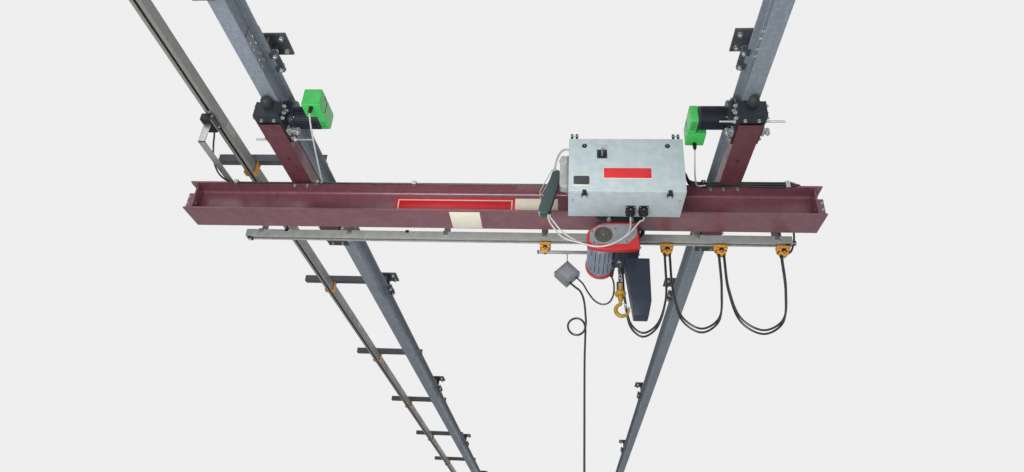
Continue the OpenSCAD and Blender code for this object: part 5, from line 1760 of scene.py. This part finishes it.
    def container(self) -> None:
        """Builds the open chain container with its leaning wall and slanted foot."""
        form = Form("chain_box")
        with form.placed((654, -50, -262.3)):
            rings = [[(0, 0, 0), (134, 0, 0), (134, 120, 0), (0, 120, 0)],
                [(34, 0, -252), (134, 0, -252), (134, 120, -252), (34, 120, -252)],
                [(42, 20, -332), (118, 20, -332), (118, 100, -332), (42, 100, -332)]]
            form.loft(rings, 3.0, CONTAINER_BLACK, 3.5)
            # The ribs' edges take the container finish's painted highlight, the light stripes down its left
            # wall.
            for z in (-16, -30):
                form.block((-0.5 + 0.135 * -z, 8, z - 2), (4, 112, z + 2), CONTAINER_BLACK, 0.8)
            form.block((120, 40, -6), (134.5, 80, 0.5), ZINC, 1.0)
        form.build("trolley", ["chain_container"], "container_black")


@dataclass
class HookBlock:
    """The load chain, the bottom block and the swivelling hook."""

    x: float = 628.0
    top: float = -389.0
    hook_top: float = -469.3
    bowl: float = 34.0
    neck: float = 50.0
    turn: float = 12.0

    def build(self) -> None:
        """Builds the block and the hook."""
        dress("load_chain", CHAIN_STEEL)
        self.block()
        self.hook()

    def block(self) -> None:
        """Builds the body that joins the chain to the hook."""
        form = Form("bottom_block")
        with form.placed((self.x, 0, self.top)):
            form.block((-19, -17, -56), (19, 17, 0), BUFFER_RUBBER, 6.0, 4)
            form.block((-12, -18.6, -56), (12, 18.6, -9), HOOK_YELLOW, 4.0, 4)
            for s in (-1, 1):
                form.bolt(Axis.Y, (0, s * 18.6, -20), 9, out=s)
                form.bolt(Axis.Y, (0, s * 18.6, -42), 9, out=s)
            form.lathe([(-55, 24), (-58, 29), (-61, 30), (-75, 30), (-78, 28), (-80, 22)], Axis.Z, (0, 0, 0),
                HOOK_YELLOW, 40)
        form.build("hook_block", ["hook_block"], "hook_yellow")

    def hook(self) -> None:
        """Builds the forged hook with its latch."""
        form = Form("forged_hook")
        low = -self.neck - self.bowl * cosine(self.turn)
        with form.placed((self.x, 0, self.hook_top)):
            form.lathe([(0, 15), (-4, 16), (-20, 15), (-26, 12.5)], Axis.Z, (0, 0, 0), HOOK_YELLOW, 32)
            path: list[Point] = [(0, 0, -22), (0, 0, -34), (0, 0, -46)]
            radii = [11.2, 10.6, 9.8]
            cx = self.bowl * sine(self.turn)
            steps = 34
            for k in range(steps + 1):
                a = math.radians(90 + self.turn + 250 * k / steps)
                path.append((cx + self.bowl * math.cos(a), 0, low + self.bowl * math.sin(a)))
                share = k / steps
                radii.append(9.0 + 2.4 * math.sin(math.pi * min(1.0, share * 1.15)) - 2.6 * max(0.0,
                    share - 0.7) / 0.3)
            end = path[-1]
            path += [(end[0] + 1.2, 0, end[2] + 6), (end[0] + 2.6, 0, end[2] + 11),
                (end[0] + 3.8, 0, end[2] + 13.5)]
            radii += [5.6, 4.6, 3.0]
            form.tube(path, radii, HOOK_YELLOW, 20)
            latch = [(6.5, 0, -40), (24, 0, -50), (52, 0, -74), (60.5, 0, -84)]
            for s in (-1, 1):
                form.tube([(x, s * (7.5 - 0.07 * x), z) for x, _, z in latch], 1.6, ZINC, 8)
            form.block((18, -5.5, -70), (54, 5.5, -68.6), ZINC, 0.4)
            form.rod(Axis.Y, (7, -13, -40), 26, 3, ZINC, 14)
        form.build("hook", ["hook"], "hook_yellow")


@dataclass
class Pendant:
    """The arm that tows the pendant's junction box, and the pendant station itself."""

    x: float = 205.0
    rail_y: float = 190.0
    rail_z: float = -33.0
    bar_z: float = -103.0
    junction: Point = (337.0, 190.0, -248.0)
    station: Point = (440.0, 190.0, -2560.0)

    def build(self) -> None:
        """Builds the arm, the box and the station."""
        self.arm()
        self.junction_box()
        self.push_buttons()

    def arm(self) -> None:
        """Builds the bar, its bracket on the trolley and the roller carrier."""
        form = Form("pendant_tow_arm")
        y, z = self.rail_y, self.bar_z
        form.blocks((((self.x - 40, y - 8, z - 8), (self.x + 315, y + 8, z + 8)),
            ((504, 120.2, z - 8), (520, y + 8, z + 8))), ZINC, 1.6)
        form.block((504, 120.1, z - 8), (560, 126, z + 80), ZINC, 1.4)
        for x, v in ((532, -84), (532, -46), (548, -64)):
            form.bolt(Axis.Y, (x, 126, v), 14)
        with form.placed((self.x, y, self.rail_z)):
            FestoonLine().carrier(form, 22.0, (), 0.0)
        form.block((self.x - 46, y - 9, z - 9), (self.x - 38, y + 9, z + 9), BLACK_PLASTIC, 1.5)
        form.build("trolley", ["tow_arm"], "zinc")

    def junction_box(self) -> None:
        """Builds the junction box that hangs cornerwise below the bar."""
        form = Form("junction_box")
        with form.placed(self.junction, 45.0, "Y"):
            form.blocks((((-52, -30, -55), (52, 14, 55)), ((-52, 15, -55), (52, 30, 55))), SWITCH_GREY, 4.0, 3)
            form.block((-50, 13, -53), (50, 16, 53), BUFFER_RUBBER)
            for sx, sz in CORNERS:
                form.lathe([(0, 4.2), (-1.2, 4)], Axis.Y, (sx * 44, -30, sz * 47), BLACK_PLASTIC, 16)
            form.block((-34, -31.0, -34), (34, -29.5, 34), PANEL_GREY, 0.8)
        form.rod(Axis.Z, (337, self.rail_y, -111.2), -72, 3, ZINC, 14)
        form.lathe([(0, 9), (-3, 9)], Axis.Z, (337, self.rail_y, -111), ZINC, 20)
        for centre, way in (((352, self.rail_y, -298.5), (1, -1)), ((387.5, self.rail_y, -263), (1, -1))):
            x, y, z = centre
            line = [(x + way[0] * t * 0.7071, y, z + way[1] * t * 0.7071) for t in (-10, 0, 2, 4, 6)]
            form.tube(line, [10.5, 10.5, 10.5, 8.6, 7.0], BLACK_PLASTIC, 20)
        form.build("trolley", ["pendant_junction"], "junction_grey")

    def push_buttons(self) -> None:
        """Builds the hand-held station with its buttons."""
        form = Form("push_button_station")
        with form.placed(self.station):
            form.lathe([(0, 8.2), (-6, 9.5), (-20, 13.5), (-26, 19), (-31, 20)], Axis.Z, (0, 0, 0),
                BLACK_PLASTIC, 28)
            form.block((-34, -27, -228), (34, 30, -30), HOOK_YELLOW, 9.0, 5)
            form.block((-28, -30, -222), (28, -24, -36), BLACK_PLASTIC, 3.0, 3)
            form.lathe([(-29, 15), (-35, 17), (-41, 15), (-43, 9)], Axis.Y, (0, 0, -62), BUTTON_RED, 36)
            form.lathe([(-29, 20), (-30.5, 19)], Axis.Y, (0, 0, -62), SIGN_CREAM, 36)
            for row, s in product(range(3), (-1, 1)):
                form.lathe([(-29, 9.5), (-31, 9.5), (-31, 8.4), (-35, 8), (-36, 6)], Axis.Y,
                    (s * 13, 0, -110 - row * 38), SIGN_CREAM if row else BLACK_PLASTIC, 28)
            for s in (-1, 1):
                form.block((s * 33, -10, -215), (s * 35, 14, -50), BLACK_PLASTIC, 0.9)
        form.build("trolley", ["pendant_station"], "hook_yellow")


@dataclass(frozen=True)
class Run:
    name: str
    route: tuple[Point, ...]
    diameter: float
    finish: Finish
    node: str
    slot: str
    body: str = "bridge"
    lay: str = "hanging"
    points: int = 90
    bend: tuple[Point, Point, str] | None = None


def side_by_side(route: Sequence[Point], gap: float, sag: float) -> tuple[Point, ...]:
    """Shifts a loop's route sideways and lets its middle hang deeper.

    Args:
        route: The loop's route.
        gap: Shift along Y.
        sag: How much deeper the middle hangs.

    Returns:
        The shifted route.
    """
    last = len(route) - 1
    return tuple((x, y + gap, z - sag * math.sin(math.pi * i / last)) for i, (x, y, z) in enumerate(route))


@dataclass
class Cables:
    """Every free cable of the crane, each a tube along its route."""

    gap: float = 8.0
    deeper: float = 16.0
    festoon_d: float = 12.0
    loops: tuple[tuple[tuple[Point, ...], str, tuple[Point, Point, str]],
        ...] = ((((660, 190, -232), (668, 190, -400), (700, 190, -560), (760, 190, -606), (835, 190, -560),
        (896, 190, -400), (908, 190, -112)), "trolley", ((1300.8, 190, -200), (660, 190, -200), "trolley")),
        (((936, 190, -112), (942, 190, -330), (985, 190, -510), (1082, 190, -572), (1180, 190, -510),
        (1214, 190, -330), (1220, 190, -112)), "trolley", ((1706.3, 190, -200), (449.7, 190, -200), "trolley")),
        (((1248, 190, -112), (1254, 190, -330), (1306, 190, -510), (1416, 190, -572), (1526, 190, -510),
        (1568, 190, -330), (1575, 190, -112)), "bridge", ((1545, 190, -200), (1275, 190, -200), "festoon_2")))
    pendant: tuple[Point, ...] = ((356.2, 190, -302.6), (366.5, 190, -312.9), (388, 190, -332),
        (412, 190, -352), (430, 190, -390), (440, 190, -440), (445, 190.5, -500), (447, 191, -560),
        (436, 192, -601), (408, 194, -622), (376, 197, -618), (352, 200, -592), (348, 202.5, -556),
        (368, 204.8, -527), (402, 206, -518), (432, 206, -536), (444, 205, -572), (444, 201, -640),
        (441, 195, -740), (440, 190, -900), (440, 190, -1200), (440, 190, -1600), (440, 190, -2100),
        (440, 190, -2559))
    feed: tuple[Point, ...] = ((585.2, 144, -276.6), (593, 144, -285.5), (603, 148, -315), (606, 156, -352),
        (598, 166, -398), (575, 178, -430), (540, 186, -437), (500, 190, -416), (462, 190, -366),
        (430, 190, -308), (404, 190, -279.6), (391.6, 190, -267.2))
    drive_right: tuple[Point, ...] = ((1010, -410, 234.4), (1010, -410, 214), (1010, -392, 180),
        (1036, -230, 140), (1072, -126, 167), (1112, -118.3, 175.4))
    drive_left: tuple[Point, ...] = ((-1010, -710, 234.4), (-1010, -710, 214), (-1008, -686, 176),
        (-1080, -250, 140), (-1104, -150, 160), (-1124, -117.2, 175.2))
    collector: tuple[Point, ...] = ((-1706, -409.9, 337), (-1707, -385, 336), (-1724, -330, 290),
        (-1732, -270, 225), (-1724, -200, 184), (-1708, -140, 178), (-1684, -112, 178), (-1640, -108, 178),
        (-1150, -108, 178), (-565, -108, 178), (200, -108, 178), (240, -112, 179), (270, -150, 186),
        (300, -190, 190), (338.9, -200, 190))
    main: tuple[Point, ...] = ((951.1, -200, 190), (972, -200, 190), (998, -172, 187), (1022, -124, 180),
        (1060, -108, 178), (1300, -108, 178), (1586, -108, 178), (1622, -106, 192), (1645, -84, 200),
        (1658, -30, 200), (1668, 110, 198), (1672, 168, 160), (1670, 189, 90), (1660, 190, 0), (1634, 190, -72),
        (1616, 190, -88))
    main_middle: tuple[Point, ...] = ((951.1, -200, 202.6), (972, -200, 202.6), (998, -172, 199.6),
        (1022, -124, 192.6), (1060, -108, 190.6), (1300, -108, 190.6), (1540, -108, 190.6),
        (1588, -107.5, 192.5), (1612, -100, 203), (1632, -74, 206), (1640, -24, 202), (1632, 50, 198),
        (1614, 140, 198), (1604, 204, 181), (1602.6, 232, 125), (1602.6, 238, 60), (1602.6, 238, -44.7))
    main_upper: tuple[Point, ...] = ((951.1, -200, 215.2), (972, -200, 215.2), (998, -172, 212.2),
        (1022, -124, 205.2), (1060, -107.5, 203.2), (1300, -107.5, 203.2), (1540, -107.5, 203.2),
        (1584, -105, 206), (1604, -92, 214), (1618, -66, 212), (1627, -20, 206), (1619, 50, 200),
        (1601, 140, 198), (1591.4, 204, 181), (1590, 232, 125), (1590, 238, 60), (1590, 238, -44.7))
    cabinet: tuple[Point, ...] = ((674, -231, -110.3), (674, -232, -128), (668, -246, -190), (651, -255, -230),
        (622, -260, -258), (564, -265, -298), (506, -267, -313), (441, -267, -305), (401, -266, -290),
        (342, -265, -252), (294, -265, -208), (258, -265, -156), (242.5, -265, -135), (242.5, -265, -120.3))
    cabinet_far: tuple[Point, ...] = ((745, -231, -110.3), (745, -232, -122), (736, -240, -134),
        (721, -247, -146), (684, -256, -200), (655, -265, -237), (624, -270, -265), (564, -275, -303),
        (506, -277, -318), (441, -277, -310), (401, -276, -295), (342, -275, -280), (307, -272, -258),
        (275, -269, -218), (247, -266, -176), (232.5, -265, -138), (232.5, -265, -120.3))

    def runs(self) -> Iterator[Run]:
        """Lists the cables.

        Yields:
            Each cable.
        """
        for number, (route, far_body, bend) in enumerate(self.loops, 1):
            node = f"festoon_loop_{number}"
            for side, way, sag in (("near", -1, 0.0), ("far", 1, self.deeper)):
                yield Run(f"festoon_cable_{number}_{side}", side_by_side(route, way * self.gap, sag),
                    self.festoon_d, CABLE_BLACK, node, "cable_black", far_body, bend=bend)
        yield Run("pendant_control_cable", self.pendant, 12.0, CABLE_BLACK, "pendant_cable", "cable_black",
            "trolley", points=240)
        yield Run("pendant_feed_cable", self.feed, 10.0, CABLE_BLACK, "pendant_lead", "cable_black", "trolley",
            points=60)
        yield Run("drive_cable_right", self.drive_right, 9.0, CABLE_GREY, "drive_leads", "cable_grey",
            points=50)
        yield Run("drive_cable_left", self.drive_left, 9.0, CABLE_GREY, "drive_leads", "cable_grey", points=60)
        yield Run("collector_cable", self.collector, 10.0, CABLE_BLACK, "girder_leads", "cable_black",
            lay="loose", points=260)
        for name, route in (("main_cable", self.main), ("main_cable_middle", self.main_middle),
                ("main_cable_upper", self.main_upper)):
            yield Run(name, route, 12.0, CABLE_BLACK, "girder_leads", "cable_black", lay="loose", points=160)
        yield Run("cabinet_cable", self.cabinet, 9.0, CABLE_GREY, "cabinet_leads", "cable_grey", points=90)
        yield Run("cabinet_cable_far", self.cabinet_far, 9.0, CABLE_GREY, "cabinet_leads", "cable_grey",
            points=100)

    def build(self) -> None:
        """Builds every cable."""
        for run in self.runs():
            form = Form(run.name)
            path = smooth_route(run.route, run.points)
            form.tube(path, run.diameter / 2, run.finish, 14)
            made = form.build(run.body, [run.node], run.slot, bend=run.bend)
            line = [at(*p) for p in path]
            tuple(line[0])
            route_length(line)


@dataclass
class Studio:
    """Camera, lamps, floor and background, in metres of the row's frame."""

    eye: Point = (1.5986, -2.6492, -2.6887)
    yaw: float = 5.419
    pitch: float = 29.654
    roll: float = 3.501
    lens: float = 24.54
    sensor: float = 36.0
    floor: float = -4.4
    background: float = 0.86
    ambient: float = 0.5
    sky: tuple[float, float, float, float] = (0.93, 0.96, 1.0, 1.0)
    spread: float = 110.0

    def build(self) -> None:
        """Builds the studio round the crane."""
        scene = bpy.context.scene
        scene.view_settings.view_transform = "Standard"
        self.camera(scene)
        self.lamps()
        self.ground()
        self.world(scene)

    def camera(self, scene: bpy.types.Scene) -> None:
        """Places the camera at the photograph's angle.

        Args:
            scene: The scene that it films.
        """
        yaw, pitch, roll = (math.radians(a) for a in (self.yaw, self.pitch, self.roll))
        level = Vector((math.cos(yaw), math.sin(yaw), 0))
        ahead = Vector((-math.sin(yaw) * math.cos(pitch), math.cos(yaw) * math.cos(pitch), math.sin(pitch)))
        above = level.cross(ahead)
        right = math.cos(roll) * level + math.sin(roll) * above
        up = -math.sin(roll) * level + math.cos(roll) * above
        data = bpy.data.cameras.new("photo_camera")
        data.sensor_fit = "HORIZONTAL"
        data.sensor_width = self.sensor
        data.lens = self.lens
        data.clip_end = 200.0
        made = bpy.data.objects.new("photo_camera", data)
        facing = Matrix((right, up, -ahead)).transposed()
        made.matrix_world = Matrix.Translation(Vector(self.eye)) @ facing.to_4x4()
        scene.collection.objects.link(made)
        scene.camera = made

    def lamps(self) -> None:
        """Hangs large soft lamps over and beside the crane."""
        plan = (("key_lamp", (-2.2, -5.5, 2.6), (1.2, 1.0, -0.4), 4.5, 16.0),
            ("fill_lamp", (5.6, -4.2, -1.2), (1.2, 0.8, -0.6), 3.0, 8.0),
            ("under_lamp", (0.6, -2.2, -3.1), (1.2, 0.9, -0.5), 2.4, 62.0),
            ("far_lamp", (1.2, 12.5, 2.5), (1.2, 5.0, -0.4), 6.0, 64.0))
        for name, place, target, size, power in plan:
            data = bpy.data.lights.new(name, "AREA")
            data.shape = "DISK"
            data.size = size
            data.energy = power
            data.spread = math.radians(self.spread)
            made = bpy.data.objects.new(name, data)
            made.visible_glossy = name in ("key_lamp", "under_lamp")
            aim = (Vector(target) - Vector(place)).to_track_quat("-Z", "Y")
            made.matrix_world = Matrix.Translation(Vector(place)) @ aim.to_matrix().to_4x4()
            bpy.context.scene.collection.objects.link(made)

    def ground(self) -> None:
        """Lays the pale floor."""
        mesh = bpy.data.meshes.new("studio_floor")
        corners = [(x, y, self.floor) for x, y in ((-40, -40), (40, -40), (40, 50), (-40, 50))]
        mesh.from_pydata(corners, [], [(0, 1, 2, 3)])
        made = bpy.data.objects.new("studio_floor", mesh)
        bpy.context.scene.collection.objects.link(made)
        look = bpy.data.materials.new("studio_floor")
        look.use_nodes = True
        look.node_tree.nodes.clear()
        g = Graph(look.node_tree)
        shader = g.node("BsdfPrincipled")
        shader.inputs["Base Color"].default_value = (0.9, 0.9, 0.89, 1)
        shader.inputs["Roughness"].default_value = 0.9
        shader.inputs["Specular IOR Level"].default_value = 0.1
        g.node("OutputMaterial", Surface=shader.outputs[0]).is_active_output = True
        mesh.materials.append(look)

    def world(self, scene: bpy.types.Scene) -> None:
        """Makes the soft light all round and the pale background.

        Args:
            scene: The scene.
        """
        world = bpy.data.worlds.new("studio_world")
        scene.world = world
        world.use_nodes = True
        tree = world.node_tree
        tree.nodes.clear()
        g = Graph(tree)
        path = g.node("LightPath")
        seen = g.maths("MAXIMUM", path.outputs["Is Camera Ray"],
            g.maths("MAXIMUM", path.outputs["Is Glossy Ray"], path.outputs["Is Transmission Ray"]))
        light = g.node("Background", Strength=self.ambient)
        light.inputs["Color"].default_value = self.sky
        back = g.node("Background", Strength=1.0)
        back.inputs["Color"].default_value = (self.background, self.background, self.background * 1.01, 1)
        mixed = g.node("MixShader")
        tree.links.new(seen, mixed.inputs[0])
        tree.links.new(light.outputs[0], mixed.inputs[1])
        tree.links.new(back.outputs[0], mixed.inputs[2])
        g.node("OutputWorld", Surface=mixed.outputs[0]).is_active_output = True


def main() -> None:
    logging.basicConfig(level=logging.INFO, format="%(name)s %(message)s")
    Studio().build()
    Cables().build()
    for part in (Runway(), ConductorLine(), Girder(), EndCarriages(), TravelDrives(), ControlCabinet(),
            FestoonLine(), Trolley(), Hoist(), HookBlock(), Pendant()):
        LOG.info("building %s", type(part).__name__)
        part.build()
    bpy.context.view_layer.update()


if __name__ == "__main__":
    main()
